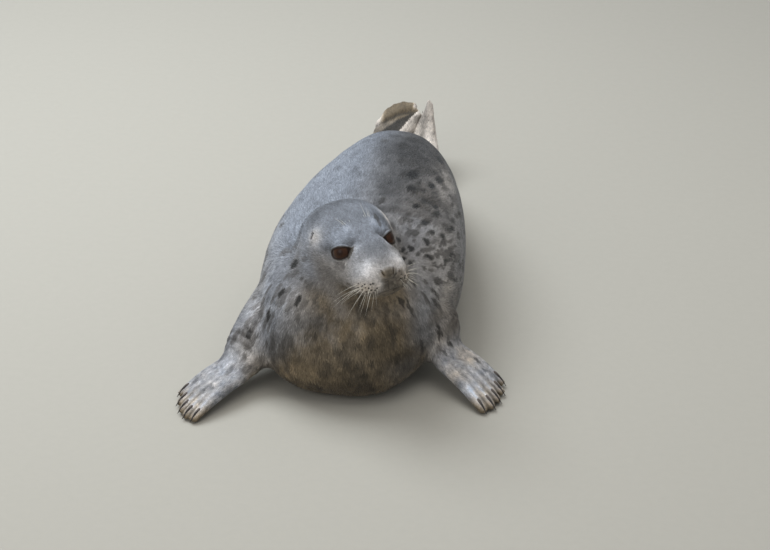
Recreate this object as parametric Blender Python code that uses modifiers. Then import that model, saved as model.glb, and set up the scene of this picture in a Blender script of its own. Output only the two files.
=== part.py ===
"""Grey seal pup, weaned and moulted, lying on its belly with its head raised and turned.

A life-size still model.  The animal faces -Y, its left side is +X, and it rests on the plane z = 0.
The flesh is modelled whole from lofted forms, fused, and then parted with thin cuts.
All lengths are in metres.  While modelling, y = 0 is just behind the front of the breast; the last
step moves the origin to the middle of the floor under the animal.
"""
import math

import bmesh
import bpy
import numpy as np
from mathutils import Matrix, Vector

# ---------------------------------------------------------------------------------------------
# Driving sizes
# ---------------------------------------------------------------------------------------------
GAP = 0.0004                      # clear space between neighbouring pieces
RING_POINTS = 40                  # points round a lofted ring of the trunk, neck or head
CORE_VOXEL = 0.006                # grain of the first fusing: trunk, neck, head and limb roots
FINE_VOXEL = 0.0035               # grain of the second one, with the digits
FLESH_TRIANGLES = 4340            # size of the fused flesh before it is parted

# Trunk, front to back: y, half width, top, bottom, height of the widest point.
TRUNK_STATIONS = (
    (-0.012, 0.062, 0.150, 0.045, 0.098),
    (0.000, 0.096, 0.180, 0.022, 0.098),
    (0.025, 0.128, 0.212, 0.003, 0.100),
    (0.070, 0.152, 0.250, -0.006, 0.105),
    (0.150, 0.177, 0.287, -0.009, 0.112),
    (0.280, 0.193, 0.305, -0.009, 0.120),
    (0.420, 0.181, 0.305, -0.009, 0.120),
    (0.560, 0.155, 0.287, -0.008, 0.112),
    (0.700, 0.125, 0.246, -0.006, 0.098),
    (0.810, 0.095, 0.190, -0.004, 0.078),
    (0.890, 0.068, 0.136, -0.002, 0.062),
    (0.935, 0.046, 0.104, 0.000, 0.052),
)
TRUNK_UPPER_POWER = 2.1           # superellipse power of the back
TRUNK_LOWER_POWER = 2.7           # the belly is fuller, pressed out by its own weight
HIND_SWING = -0.050               # sideways shift of the tail root, to the animal's right
SWING_START = 0.50                # where the spine begins to bend
CHEST_END = 0.265                 # the trunk is parted here ...
LOIN_END = 0.600                  # ... and here
ANKLE_CUT = 0.966                 # the hind flippers and the tail are parted here

# Head, in its own frame: origin midway between the eyes, -y to the nose, +x to its left.
EYE_MIDPOINT = Vector((0.046, 0.070, 0.3035))
HEAD_YAW = math.radians(35.3)
HEAD_PITCH = math.radians(4.7)
HEAD_ROLL = math.radians(-5.4)
HEAD_STATIONS = (                 # y, half width, top, bottom, height of the widest point
    (-0.094, 0.027, -0.006, -0.060, -0.034),
    (-0.085, 0.039, 0.002, -0.073, -0.038),
    (-0.066, 0.047, 0.010, -0.081, -0.040),
    (-0.040, 0.052, 0.020, -0.086, -0.038),
    (-0.008, 0.061, 0.032, -0.091, -0.036),
    (0.026, 0.073, 0.044, -0.098, -0.030),
    (0.062, 0.081, 0.050, -0.108, -0.026),
    (0.102, 0.084, 0.047, -0.116, -0.030),
    (0.145, 0.080, 0.034, -0.116, -0.038),
)
HEAD_POWER = 2.2
NOSE_TIP = Vector((0, -0.100, -0.026))
WHISKER_PAD = Vector((0.021, -0.070, -0.046))      # middle of the left whisker pad
WHISKER_PAD_RADII = Vector((0.028, 0.030, 0.026))
NOSE_CENTRE = Vector((0, -0.0935, -0.021))          # bare pad round the nostrils
NOSE_RADII = Vector((0.0165, 0.0125, 0.0125))

EYE_CENTRE = Vector((0.0385, 0.0035, -0.0065))       # left eyeball
EYE_RADIUS = 0.0215
EAR_OPENING = Vector((0.079, 0.078, 0.000))         # left ear opening: a pit, seals have no flap
EAR_RADIUS = 0.0035
EAR_DEPTH = 0.012

# The cuts round the head: a point and the direction square to the cut.
NECK_CUT = Vector((0.0, 0.100, 0.215))
NECK_CUT_NORMAL = Vector((0, -0.53, 0.85))
HEAD_CUT = Vector((0, 0.100, 0.000))                # this and the next ones in the head's frame
HEAD_CUT_NORMAL = Vector((0, 0.539, -0.842))
MUZZLE_CUT = Vector((0, -0.034, 0))
MOUTH_CUT = Vector((0, -0.070, -0.056))
MOUTH_CUT_NORMAL = Vector((0, 0.10, 1.0))

# Neck: half widths and half heights at the skull and in the shoulders.
NECK_HALF_WIDTHS = (0.102, 0.150)
NECK_HALF_HEIGHTS = (0.098, 0.128)

# Fore flippers.  Digits from the first, at the leading edge, to the fifth: reach, sideways place.
FORE_DIGITS = ((0.150, 0.044), (0.153, 0.025), (0.146, 0.004), (0.132, -0.018), (0.110, -0.041))
FORE_KNUCKLE_SPREAD = 0.62        # the digits' roots are closer together than their tips
FORE_TIP_HEIGHT = 0.0062
FORE_DIGIT_WIDTHS = (0.0150, 0.0088)     # half sizes, from the knuckle to the tip
FORE_DIGIT_HEIGHTS = (0.0130, 0.0080)
FORE_WEB_HEIGHTS = (0.0115, 0.0048)
FOREARM_WIDTHS = (0.085, 0.042)          # half sizes, from the shoulder to the wrist
FOREARM_HEIGHTS = (0.080, 0.025)
PALM_REACH = 0.035
PALM_HALF_SIZE = (0.038, 0.016)
PALM_DROP = Vector((0, 0, 0.012))
FORE_CLAW = dict(length=0.021, radius=0.0031, sunk=0.006, drop=0.0052, lift=0.0018, level=True)
FORE_LIMBS = {
    "right": dict(shoulder=Vector((-0.095, 0.170, 0.125)), elbow=Vector((-0.142, 0.110, 0.100)),
                  wrist=Vector((-0.186, 0.034, 0.044)), heading=Vector((-0.566, -0.824, 0)),
                  spread=Vector((0.824, -0.566, 0)), fan=0.98,
                  cut=Vector((-0.166, 0.045, 0.080)), cut_normal=Vector((-0.70, -0.714, 0.0))),
    "left": dict(shoulder=Vector((0.095, 0.205, 0.130)), elbow=Vector((0.142, 0.180, 0.110)),
                 wrist=Vector((0.182, 0.140, 0.058)), heading=Vector((0.838, -0.546, 0)),
                 spread=Vector((-0.546, -0.838, 0)), fan=1.14,
                 cut=Vector((0.186, 0.135, 0.080)), cut_normal=Vector((0.97, -0.24, 0.0))),
}

# Hind flippers: toes run from the ankle to a fan of tips between `first` and `last`.
HIND_CLAW = dict(length=0.014, radius=0.0019, sunk=0.003, drop=-0.002, lift=0.0015, level=False)
HIND_LIMBS = {
    "right": dict(hip=Vector((-0.052, 0.850, 0.058)), ankle=Vector((-0.092, 0.960, 0.042)),
                  spread=Vector((0.90, 0.10, 0.42)), first=Vector((-0.056, 1.080, 0.126)),
                  last=Vector((-0.140, 1.085, 0.078)), bow=Vector((-0.006, 0.012, 0.014)),
                  curl=Vector((0.014, -0.004, 0.004))),
    "left": dict(hip=Vector((-0.022, 0.855, 0.058)), ankle=Vector((0.003, 0.962, 0.044)),
                 spread=Vector((0.90, -0.10, 0.42)), first=Vector((-0.002, 1.072, 0.098)),
                 last=Vector((-0.042, 1.058, 0.080)), bow=Vector((0.008, 0.020, 0.046)),
                 curl=Vector((0.0, 0.0, 0.0))),
}
SHANK_WIDTHS = (0.044, 0.031)            # half sizes, from the hip to the ankle
SHANK_HEIGHTS = (0.040, 0.021)
SOLE_HALF_SIZE = (0.029, 0.013)
TOE_ROOT_SPREAD = 0.022                  # half the width of the five toes' roots
TOE_WIDTHS = (0.0120, 0.0060)
TOE_HEIGHTS = (0.0115, 0.0050)
HIND_WEB_HEIGHTS = (0.0095, 0.0034)
OUTER_TOE_GAIN = 0.35                    # the first and fifth toes are thicker by this share
TAIL_WIDTHS = (0.028, 0.013)
TAIL_HEIGHTS = (0.018, 0.006)
TAIL_ROOT = Vector((-0.044, 0.885, 0.096))
TAIL_TIP = Vector((-0.046, 0.996, 0.106))

# Materials: base colour, roughness.
COAT_GREY = ((0.30, 0.30, 0.31), 0.62)
COAT_PALE = ((0.52, 0.49, 0.44), 0.62)
FLIPPER_GREY = ((0.26, 0.25, 0.25), 0.60)
EYE_BLACK = ((0.012, 0.010, 0.010), 0.06)
NOSE_BLACK = ((0.035, 0.033, 0.035), 0.38)
CLAW_HORN = ((0.050, 0.042, 0.038), 0.35)


# ---------------------------------------------------------------------------------------------
# Helpers
# ---------------------------------------------------------------------------------------------
def clear_scene():
    for obj in list(bpy.data.objects):
        bpy.data.objects.remove(obj, do_unlink=True)


def make_collection(name):
    collection = bpy.data.collections.new(name)
    bpy.context.scene.collection.children.link(collection)
    return collection


def make_material(name, finish):
    colour, roughness = finish
    material = bpy.data.materials.new(name)
    material.use_nodes = True
    shader = material.node_tree.nodes["Principled BSDF"]
    shader.inputs["Base Color"].default_value = (*colour, 1.0)
    shader.inputs["Roughness"].default_value = roughness
    shader.inputs["Metallic"].default_value = 0.0
    material.diffuse_color = (*colour, 1.0)
    return material


def interpolate(stations, value):
    """Read a row between the stations, on smooth Hermite curves through them."""
    rows = np.array(stations)
    keys = rows[:, 0]
    slopes = np.gradient(rows, keys, axis=0)
    index = int(np.clip(np.searchsorted(keys, value) - 1, 0, len(keys) - 2))
    span = keys[index + 1] - keys[index]
    t = (value - keys[index]) / span
    return ((2 * t**3 - 3 * t**2 + 1) * rows[index] + (t**3 - 2 * t**2 + t) * span * slopes[index]
            + (3 * t**2 - 2 * t**3) * rows[index + 1] + (t**3 - t**2) * span * slopes[index + 1])


def superellipse(angle, power):
    c = math.cos(angle)
    s = math.sin(angle)
    return (math.copysign(abs(c) ** (2.0 / power), c),
            math.copysign(abs(s) ** (2.0 / power), s))


def loft(rings, front, back):
    """A closed bmesh through rings of points, each end drawn to a pole point."""
    bm = bmesh.new()
    rows = [[bm.verts.new(point) for point in ring] for ring in rings]
    count = len(rows[0])
    for first, second in zip(rows, rows[1:]):
        for i in range(count):
            j = (i + 1) % count
            bm.faces.new((first[i], first[j], second[j], second[i]))
    for row, pole in ((rows[0], front), (rows[-1], back)):
        tip = bm.verts.new(pole)
        for i in range(count):
            bm.faces.new((row[i], row[(i + 1) % count], tip))
    bmesh.ops.recalc_face_normals(bm, faces=bm.faces)
    return bm


def to_object(bm, name, collection):
    mesh = bpy.data.meshes.new(name)
    bm.to_mesh(mesh)
    bm.free()
    obj = bpy.data.objects.new(name, mesh)
    collection.objects.link(obj)
    return obj


def tube(path, widths, heights, side, power=2.0, points=20, cap=0.6):
    """A loft along a path; widths lie along `side`, heights square to it."""
    rings = []
    for k, point in enumerate(path):
        ahead = path[min(k + 1, len(path) - 1)] - path[max(k - 1, 0)]
        along = ahead.normalized()
        across = (side - along * side.dot(along)).normalized()
        up = across.cross(along)
        ring = []
        for i in range(points):
            c, s = superellipse(2 * math.pi * i / points, power)
            ring.append(point + across * (c * widths[k]) + up * (s * heights[k]))
        rings.append(ring)
    start = path[0] - (path[1] - path[0]).normalized() * heights[0] * cap
    end = path[-1] + (path[-1] - path[-2]).normalized() * heights[-1] * cap
    return loft(rings, start, end)


def bezier(a, b, c, d, count):
    result = []
    for k in range(count):
        t = k / (count - 1)
        u = 1 - t
        result.append(a * u**3 + b * (3 * u * u * t) + c * (3 * u * t * t) + d * t**3)
    return result


def ramp(start, end, count):
    return [start + (end - start) * k / (count - 1) for k in range(count)]


def ellipsoid(centre, radii, place, segments=14, rings=8):
    """An ellipsoid given in the frame `place`."""
    bm = bmesh.new()
    matrix = place @ Matrix.Translation(centre) @ Matrix.Diagonal((*radii, 1.0))
    bmesh.ops.create_uvsphere(bm, u_segments=segments, v_segments=rings, radius=1.0, matrix=matrix)
    return bm


def mirrored(vector, side):
    """The same place on the other side of the head; side is +1 for the left, -1 for the right."""
    return Vector((side * vector.x, vector.y, vector.z))


def apply_modifiers(obj):
    graph = bpy.context.evaluated_depsgraph_get()
    mesh = bpy.data.meshes.new_from_object(obj.evaluated_get(graph))
    obj.modifiers.clear()
    obj.data = mesh


def join(objects, name, collection):
    bm = bmesh.new()
    for obj in objects:
        bm.from_mesh(obj.data)
        bpy.data.objects.remove(obj, do_unlink=True)
    return to_object(bm, name, collection)


def fuse(objects, name, voxel, smooth, collection):
    """Join overlapping solids into one and let their joins run together."""
    body = join(objects, name, collection)
    remesh = body.modifiers.new("Fuse", "REMESH")
    remesh.mode = "VOXEL"
    remesh.voxel_size = voxel
    relax = body.modifiers.new("Relax", "SMOOTH")
    relax.factor = 0.5
    relax.iterations = smooth
    apply_modifiers(body)
    return body


def loose_pieces(bm):
    """Sets of the vertices that hang together."""
    seen = set()
    pieces = []
    for start in bm.verts:
        if start in seen:
            continue
        seen.add(start)
        stack = [start]
        piece = set()
        while stack:
            vert = stack.pop()
            piece.add(vert)
            for edge in vert.link_edges:
                other = edge.other_vert(vert)
                if other not in seen:
                    seen.add(other)
                    stack.append(other)
        pieces.append(piece)
    return pieces


def drop_crumbs(obj):
    """Keep the largest loose piece only."""
    bm = bmesh.new()
    bm.from_mesh(obj.data)
    pieces = sorted(loose_pieces(bm), key=len)
    crumbs = [vert for piece in pieces[:-1] for vert in piece]
    bmesh.ops.delete(bm, geom=crumbs, context="VERTS")
    bm.to_mesh(obj.data)
    bm.free()


def slab(centre, normal, along, half_along, half_across, collection):
    """A thin cutter: a plate GAP thick, square to `normal`."""
    axis_z = normal.normalized()
    axis_x = (along - axis_z * along.dot(axis_z)).normalized()
    axis_y = axis_z.cross(axis_x)
    frame = Matrix((axis_x, axis_y, axis_z)).transposed().to_4x4()
    frame.translation = centre
    bm = bmesh.new()
    size = Matrix.Diagonal((2 * half_along, 2 * half_across, GAP, 1.0))
    bmesh.ops.create_cube(bm, size=1.0, matrix=frame @ size)
    return cutter(to_object(bm, "cut", collection))


def cutter(obj):
    obj.hide_render = True
    obj.display_type = "WIRE"
    return obj


def carve(target, cutters):
    """Take the cutters out of the target, one by one."""
    for tool in cutters:
        cut = target.modifiers.new("Cut", "BOOLEAN")
        cut.operation = "DIFFERENCE"
        cut.solver = "EXACT"
        cut.object = tool
    apply_modifiers(target)


# ---------------------------------------------------------------------------------------------
# Body forms
# ---------------------------------------------------------------------------------------------
def spine_shift(y):
    """Sideways place of the spine at y."""
    t = max(0.0, (y - SWING_START) / (TRUNK_STATIONS[-1][0] - SWING_START))
    return HIND_SWING * t * t


def station_ring(stations, y, place, upper_power, lower_power, shift=0.0):
    _, half, top, bottom, middle = interpolate(stations, y)
    ring = []
    for i in range(RING_POINTS):
        angle = 2 * math.pi * i / RING_POINTS
        c, s = superellipse(angle, upper_power if math.sin(angle) > 0 else lower_power)
        height = (top - middle) if s > 0 else (middle - bottom)
        ring.append(place @ Vector((shift + half * c, y, middle + height * s)))
    return ring


def trunk_form(collection):
    first = TRUNK_STATIONS[0][0]
    last = TRUNK_STATIONS[-1][0]
    rings = [station_ring(TRUNK_STATIONS, y, Matrix.Identity(4), TRUNK_UPPER_POWER,
                          TRUNK_LOWER_POWER, spine_shift(y)) for y in ramp(first, last, 48)]
    breast = Vector((0, first - 0.008, TRUNK_STATIONS[0][4]))
    rump = Vector((spine_shift(last), last + 0.018, TRUNK_STATIONS[-1][4]))
    return to_object(loft(rings, breast, rump), "trunk_form", collection)


def head_matrix():
    return (Matrix.Translation(EYE_MIDPOINT) @ Matrix.Rotation(HEAD_YAW, 4, "Z")
            @ Matrix.Rotation(-HEAD_PITCH, 4, "X") @ Matrix.Rotation(HEAD_ROLL, 4, "Y"))


def head_forms(collection):
    place = head_matrix()
    first = HEAD_STATIONS[0][0]
    last = HEAD_STATIONS[-1][0]
    rings = [station_ring(HEAD_STATIONS, y, place, HEAD_POWER, HEAD_POWER)
             for y in ramp(first, last, 26)]
    skull = loft(rings, place @ NOSE_TIP, place @ Vector((0, last + 0.02, -0.03)))
    forms = [to_object(skull, "skull_form", collection)]
    for side in (-1, 1):
        pad = ellipsoid(mirrored(WHISKER_PAD, side), WHISKER_PAD_RADII, place, 24, 14)
        forms.append(to_object(pad, "whisker_pad_form", collection))
    return forms


def neck_form(collection):
    place = head_matrix()
    path = bezier(place @ Vector((0, 0.052, -0.048)), place @ Vector((0, 0.115, -0.100)),
                  Vector((0.0, 0.170, 0.190)), Vector((0, 0.270, 0.165)), 12)
    return to_object(tube(path, ramp(*NECK_HALF_WIDTHS, 12), ramp(*NECK_HALF_HEIGHTS, 12),
                          Vector((1, 0, 0)), 2.1, RING_POINTS), "neck_form", collection)


def forearm_form(limb, collection):
    arm = bezier(limb["shoulder"], limb["elbow"], limb["wrist"].lerp(limb["elbow"], 0.35),
                 limb["wrist"], 8)
    arm.append(limb["wrist"] + limb["heading"] * PALM_REACH - PALM_DROP)
    widths = ramp(*FOREARM_WIDTHS, 8) + [PALM_HALF_SIZE[0]]
    heights = ramp(*FOREARM_HEIGHTS, 8) + [PALM_HALF_SIZE[1]]
    return to_object(tube(arm, widths, heights, limb["spread"], 2.1), "forearm_form", collection)


def fore_digit_path(limb, digit, count=7):
    """From a knuckle inside the wrist to the digit's tip, low on the ground."""
    reach, place = FORE_DIGITS[digit]
    root = limb["wrist"] + limb["spread"] * (place * FORE_KNUCKLE_SPREAD)
    root += limb["heading"] * 0.012
    root.z = limb["wrist"].z - 0.006
    tip = limb["wrist"] + limb["heading"] * reach + limb["spread"] * (place * limb["fan"])
    tip.z = FORE_TIP_HEIGHT
    rise = Vector((0, 0, 0.008))
    return bezier(root, root.lerp(tip, 0.35) + rise, root.lerp(tip, 0.7) + rise, tip, count)


def webs(paths, heights, name, collection, reach):
    """Thin plates that fill the space between neighbouring digits."""
    forms = []
    for first, second in zip(paths, paths[1:]):
        middle = [(a + b) / 2 for a, b in zip(first, second)][:reach]
        half = [(a - b).length / 2 + 0.002 for a, b in zip(first, second)][:reach]
        side = (first[4] - second[4]).normalized()
        forms.append(to_object(tube(middle, half, ramp(*heights, reach), side, 2.4, 14),
                               name, collection))
    return forms


def fore_hand_forms(limb, collection):
    """Five digits and the web between them."""
    paths = [fore_digit_path(limb, digit) for digit in range(len(FORE_DIGITS))]
    forms = webs(paths, FORE_WEB_HEIGHTS, "fore_web_form", collection, 6)
    for path in paths:
        forms.append(to_object(tube(path, ramp(*FORE_DIGIT_WIDTHS, 7), ramp(*FORE_DIGIT_HEIGHTS, 7),
                                    limb["spread"], 2.0, 14), "digit_form", collection))
    return forms


def hind_toe_path(limb, toe, count=7):
    fan = (toe - 2) / 2.0
    root = limb["ankle"] - limb["spread"] * (fan * TOE_ROOT_SPREAD)
    tip = limb["first"].lerp(limb["last"], toe / 4.0) + limb["bow"] * (1 - fan * fan)
    middle = root.lerp(tip, 0.6) + limb["curl"] * 0.3
    return bezier(root, root.lerp(middle, 0.6), middle, tip + limb["curl"], count)


def shank_form(limb, collection):
    path = bezier(limb["hip"], limb["hip"].lerp(limb["ankle"], 0.4),
                  limb["hip"].lerp(limb["ankle"], 0.8), limb["ankle"], 6)
    path.append(limb["ankle"].lerp(limb["first"].lerp(limb["last"], 0.5), 0.22))
    widths = ramp(*SHANK_WIDTHS, 6) + [SOLE_HALF_SIZE[0]]
    heights = ramp(*SHANK_HEIGHTS, 6) + [SOLE_HALF_SIZE[1]]
    return to_object(tube(path, widths, heights, limb["spread"], 2.1), "shank_form", collection)


def hind_foot_forms(limb, collection):
    paths = [hind_toe_path(limb, toe) for toe in range(5)]
    forms = webs(paths, HIND_WEB_HEIGHTS, "hind_web_form", collection, 7)
    for toe, path in enumerate(paths):
        thick = 1.0 + OUTER_TOE_GAIN * abs(toe - 2) / 2.0
        widths = [half * thick for half in ramp(*TOE_WIDTHS, 7)]
        heights = [half * thick for half in ramp(*TOE_HEIGHTS, 7)]
        forms.append(to_object(tube(path, widths, heights, limb["spread"], 2.0, 14),
                               "toe_form", collection))
    return forms


def tail_form(collection):
    """The short flat tail above the roots of the hind flippers."""
    path = bezier(TAIL_ROOT, TAIL_ROOT.lerp(TAIL_TIP, 0.35), TAIL_ROOT.lerp(TAIL_TIP, 0.7),
                  TAIL_TIP, 6)
    return to_object(tube(path, ramp(*TAIL_WIDTHS, 6), ramp(*TAIL_HEIGHTS, 6), Vector((1, 0, 0)), 2.2),
                     "tail_form", collection)


def model_flesh(collection):
    core = [trunk_form(collection), neck_form(collection), tail_form(collection)]
    core += head_forms(collection)
    fine = []
    for side in ("right", "left"):
        core.append(forearm_form(FORE_LIMBS[side], collection))
        core.append(shank_form(HIND_LIMBS[side], collection))
        fine += fore_hand_forms(FORE_LIMBS[side], collection)
        fine += hind_foot_forms(HIND_LIMBS[side], collection)
    core = fuse(core, "core", CORE_VOXEL, 12, collection)
    flesh = fuse([core] + fine, "flesh", FINE_VOXEL, 3, collection)
    thin = flesh.modifiers.new("Thin out", "DECIMATE")
    thin.ratio = FLESH_TRIANGLES / sum(len(face.vertices) - 2 for face in flesh.data.polygons)
    apply_modifiers(flesh)
    drop_crumbs(flesh)
    return flesh


# ---------------------------------------------------------------------------------------------
# Parting the flesh
# ---------------------------------------------------------------------------------------------
def floor_cut(collection):
    """Everything below the floor goes, so that belly and hands rest on flats at z = 0."""
    bm = bmesh.new()
    size = Matrix.Diagonal((2.0, 3.0, 0.2, 1.0))
    bmesh.ops.create_cube(bm, size=1.0, matrix=Matrix.Translation((0, 0.5, -0.1)) @ size)
    return cutter(to_object(bm, "floor_cut", collection))


def part(whole, cuts, places, collection):
    """Cut a solid and name each loose piece for the place nearest to its middle."""
    carve(whole, cuts)
    bm = bmesh.new()
    bm.from_mesh(whole.data)
    bpy.data.objects.remove(whole, do_unlink=True)
    bm.verts.index_update()
    named = {}
    for piece in loose_pieces(bm):
        middle = sum((vert.co for vert in piece), Vector()) / len(piece)
        name = min(places, key=lambda key: (places[key] - middle).length)
        kept = {vert.index for vert in piece}
        copy = bm.copy()
        spare = [vert for vert in copy.verts if vert.index not in kept]
        bmesh.ops.delete(copy, geom=spare, context="VERTS")
        if name in named:
            raise ValueError("two pieces are both " + name)
        named[name] = to_object(copy, name, collection)
    bm.free()
    if len(named) != len(places):
        raise ValueError("not parted: " + ", ".join(set(places) - set(named)))
    return named


def limb_places(limbs, prefix, tip):
    return {prefix + side: tip(limb) for side, limb in limbs.items()}


def part_flesh(flesh, parts, tools):
    """Thin cuts where a person would name the pieces, from the coarsest to the finest."""
    head = head_matrix()
    turn = head.to_3x3()
    x_axis = Vector((1, 0, 0))
    y_axis = Vector((0, 1, 0))
    flat = Vector((0, 0, 1))
    wide = 0.35
    pieces = part(
        flesh,
        [slab(Vector((0, y, 0.15)), y_axis, x_axis, wide, wide, tools) for y in (CHEST_END, LOIN_END)]
        + [floor_cut(tools)],
        {"front": Vector((0, 0.08, 0.12)), "trunk": Vector((0, 0.43, 0.15)),
         "rear": Vector((-0.03, 0.88, 0.09))}, parts)
    pieces.update(part(
        pieces.pop("front"),
        [slab(NECK_CUT, NECK_CUT_NORMAL, x_axis, wide, wide, tools)],
        {"head_and_neck": head @ Vector((0, 0.03, -0.04)), "chest_and_arms": Vector((0, 0.08, 0.05))},
        parts))
    pieces.update(part(
        pieces.pop("head_and_neck"),
        [slab(head @ HEAD_CUT, turn @ HEAD_CUT_NORMAL, turn @ x_axis, wide, wide, tools)],
        {"head": head @ Vector((0, 0, -0.03)), "neck": head @ Vector((0, 0.10, -0.10))}, parts))
    pieces.update(part(
        pieces.pop("head"),
        [slab(head @ MUZZLE_CUT, turn @ y_axis, turn @ x_axis, wide, wide, tools)],
        {"face": head @ Vector((0, -0.07, -0.04)), "head": head @ Vector((0, 0.04, -0.02))}, parts))
    pieces.update(part(
        pieces.pop("face"),
        [slab(head @ MOUTH_CUT, turn @ MOUTH_CUT_NORMAL, turn @ x_axis, wide, wide, tools)],
        {"muzzle": head @ Vector((0, -0.07, -0.02)), "lower_jaw": head @ Vector((0, -0.06, -0.07))},
        parts))
    pieces.update(part(
        pieces.pop("chest_and_arms"),
        [slab(limb["cut"], limb["cut_normal"], flat, 0.14, 0.16, tools) for limb in FORE_LIMBS.values()],
        {"chest": Vector((0, 0.10, 0.10)),
         **limb_places(FORE_LIMBS, "fore_flipper_", lambda limb: limb["wrist"] + limb["heading"] * 0.1)},
        parts))
    pieces.update(part(
        pieces.pop("rear"),
        [slab(Vector((0, ANKLE_CUT, 0.15)), y_axis, x_axis, wide, wide, tools)],
        {"hindquarters": Vector((-0.03, 0.80, 0.09)), "tail": TAIL_TIP,
         **limb_places(HIND_LIMBS, "hind_flipper_", lambda limb: limb["ankle"].lerp(limb["first"], 0.6))},
        parts))
    return pieces


# ---------------------------------------------------------------------------------------------
# Eyes, nose, ears and claws
# ---------------------------------------------------------------------------------------------
def grown(radii):
    """The size of the socket round a sunk piece."""
    return Vector([radius + GAP for radius in radii])


def sink_eyes(head_piece, parts, tools):
    place = head_matrix()
    radii = Vector((EYE_RADIUS,) * 3)
    sockets = []
    eyes = {}
    for side, name in ((1, "eye_left"), (-1, "eye_right")):
        centre = mirrored(EYE_CENTRE, side)
        eyes[name] = to_object(ellipsoid(centre, radii, place), name, parts)
        sockets.append(cutter(to_object(ellipsoid(centre, grown(radii), place), "socket", tools)))
    for side in (1, -1):
        ear = mirrored(EAR_OPENING, side)
        inward = Vector((-side, 0.0, 0.0))
        path = [place @ (ear - inward * 0.012), place @ ear, place @ (ear + inward * EAR_DEPTH)]
        pit = tube(path, [EAR_RADIUS * 1.4, EAR_RADIUS, EAR_RADIUS * 0.4],
                   [EAR_RADIUS * 1.4, EAR_RADIUS, EAR_RADIUS * 0.4], Vector((0, 0, 1)), 2.0, 10)
        sockets.append(cutter(to_object(pit, "ear_pit", tools)))
    carve(head_piece, sockets)
    return eyes


def sink_nose(muzzle, parts, tools):
    place = head_matrix()
    nose = to_object(ellipsoid(NOSE_CENTRE, NOSE_RADII, place), "nose", parts)
    socket = to_object(ellipsoid(NOSE_CENTRE, grown(NOSE_RADII), place), "socket", tools)
    carve(muzzle, [cutter(socket)])
    return nose


def claw_form(tip, along, down, shape, extra):
    """A curved horn cone, sunk a little way into the digit."""
    root = tip - along * shape["sunk"]
    end = tip + along * shape["length"] + down * shape["drop"]
    middle = root.lerp(end, 0.55) - down * (shape["drop"] * 0.4)
    path = bezier(root, root.lerp(middle, 0.7), middle, end, 4)
    radii = [shape["radius"] * scale + extra for scale in (1.0, 0.92, 0.66, 0.22)]
    return tube(path, radii, radii, Vector((0.3, 0.2, 1.0)), 2.0, 6)


def grow_claws(flipper, name, paths, shape, parts, tools):
    claws = {}
    sockets = []
    down = Vector((0, 0, -1.0))
    for digit, path in enumerate(paths):
        along = (path[-1] - path[-3]).normalized()
        tip = path[-1] + Vector((0, 0, shape["lift"]))
        if shape["level"]:
            along.z = 0.0
            along.normalize()
        label = "%s_%d" % (name, digit + 1)
        claws[label] = to_object(claw_form(tip, along, down, shape, 0.0), label, parts)
        sockets.append(cutter(to_object(claw_form(tip, along, down, shape, GAP), "claw_socket", tools)))
    carve(flipper, sockets)
    return claws


def move_origin(objects):
    """Put the origin on the floor, in the middle of the model's box."""
    points = np.array([vert.co for obj in objects for vert in obj.data.vertices])
    low = points.min(axis=0)
    high = points.max(axis=0)
    shift = Vector((-(low[0] + high[0]) / 2, -(low[1] + high[1]) / 2, 0.0))
    for obj in objects:
        obj.data.transform(Matrix.Translation(shift))


def finish(pieces):
    finishes = {"eye": EYE_BLACK, "nose": NOSE_BLACK, "claw": CLAW_HORN, "fore": COAT_PALE,
                "hind_f": FLIPPER_GREY}
    for name, obj in pieces.items():
        look = COAT_GREY
        for start, candidate in finishes.items():
            if name.startswith(start):
                look = candidate
        obj.data.materials.clear()
        obj.data.materials.append(make_material(name, look))
        obj.data.shade_smooth()
        obj.data.set_sharp_from_angle(angle=math.radians(50))


def main():
    clear_scene()
    parts = make_collection("grey_seal")
    tools = make_collection("cutters")
    pieces = part_flesh(model_flesh(parts), parts, tools)
    pieces.update(sink_eyes(pieces["head"], parts, tools))
    pieces["nose"] = sink_nose(pieces["muzzle"], parts, tools)
    for side, limb in FORE_LIMBS.items():
        paths = [fore_digit_path(limb, digit) for digit in range(len(FORE_DIGITS))]
        pieces.update(grow_claws(pieces["fore_flipper_" + side], "claw_fore_" + side, paths,
                                 FORE_CLAW, parts, tools))
    for side, limb in HIND_LIMBS.items():
        paths = [hind_toe_path(limb, toe) for toe in range(5)]
        pieces.update(grow_claws(pieces["hind_flipper_" + side], "claw_hind_" + side, paths,
                                 HIND_CLAW, parts, tools))
    move_origin(list(pieces.values()))
    finish(pieces)


main()
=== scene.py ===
"""Looks of a young grey seal: one skin with its folds, lids and nostrils, a short coat laid in flat
tufts, wet eyes, horn claws and whiskers, lying on a pale studio floor.

Metres throughout.  The animal faces -Y, its left side is +X, and the floor is z = 0.
"""
import math

import bmesh
import bpy
import numpy as np
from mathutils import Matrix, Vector, noise
from mathutils.bvhtree import BVHTree


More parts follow.
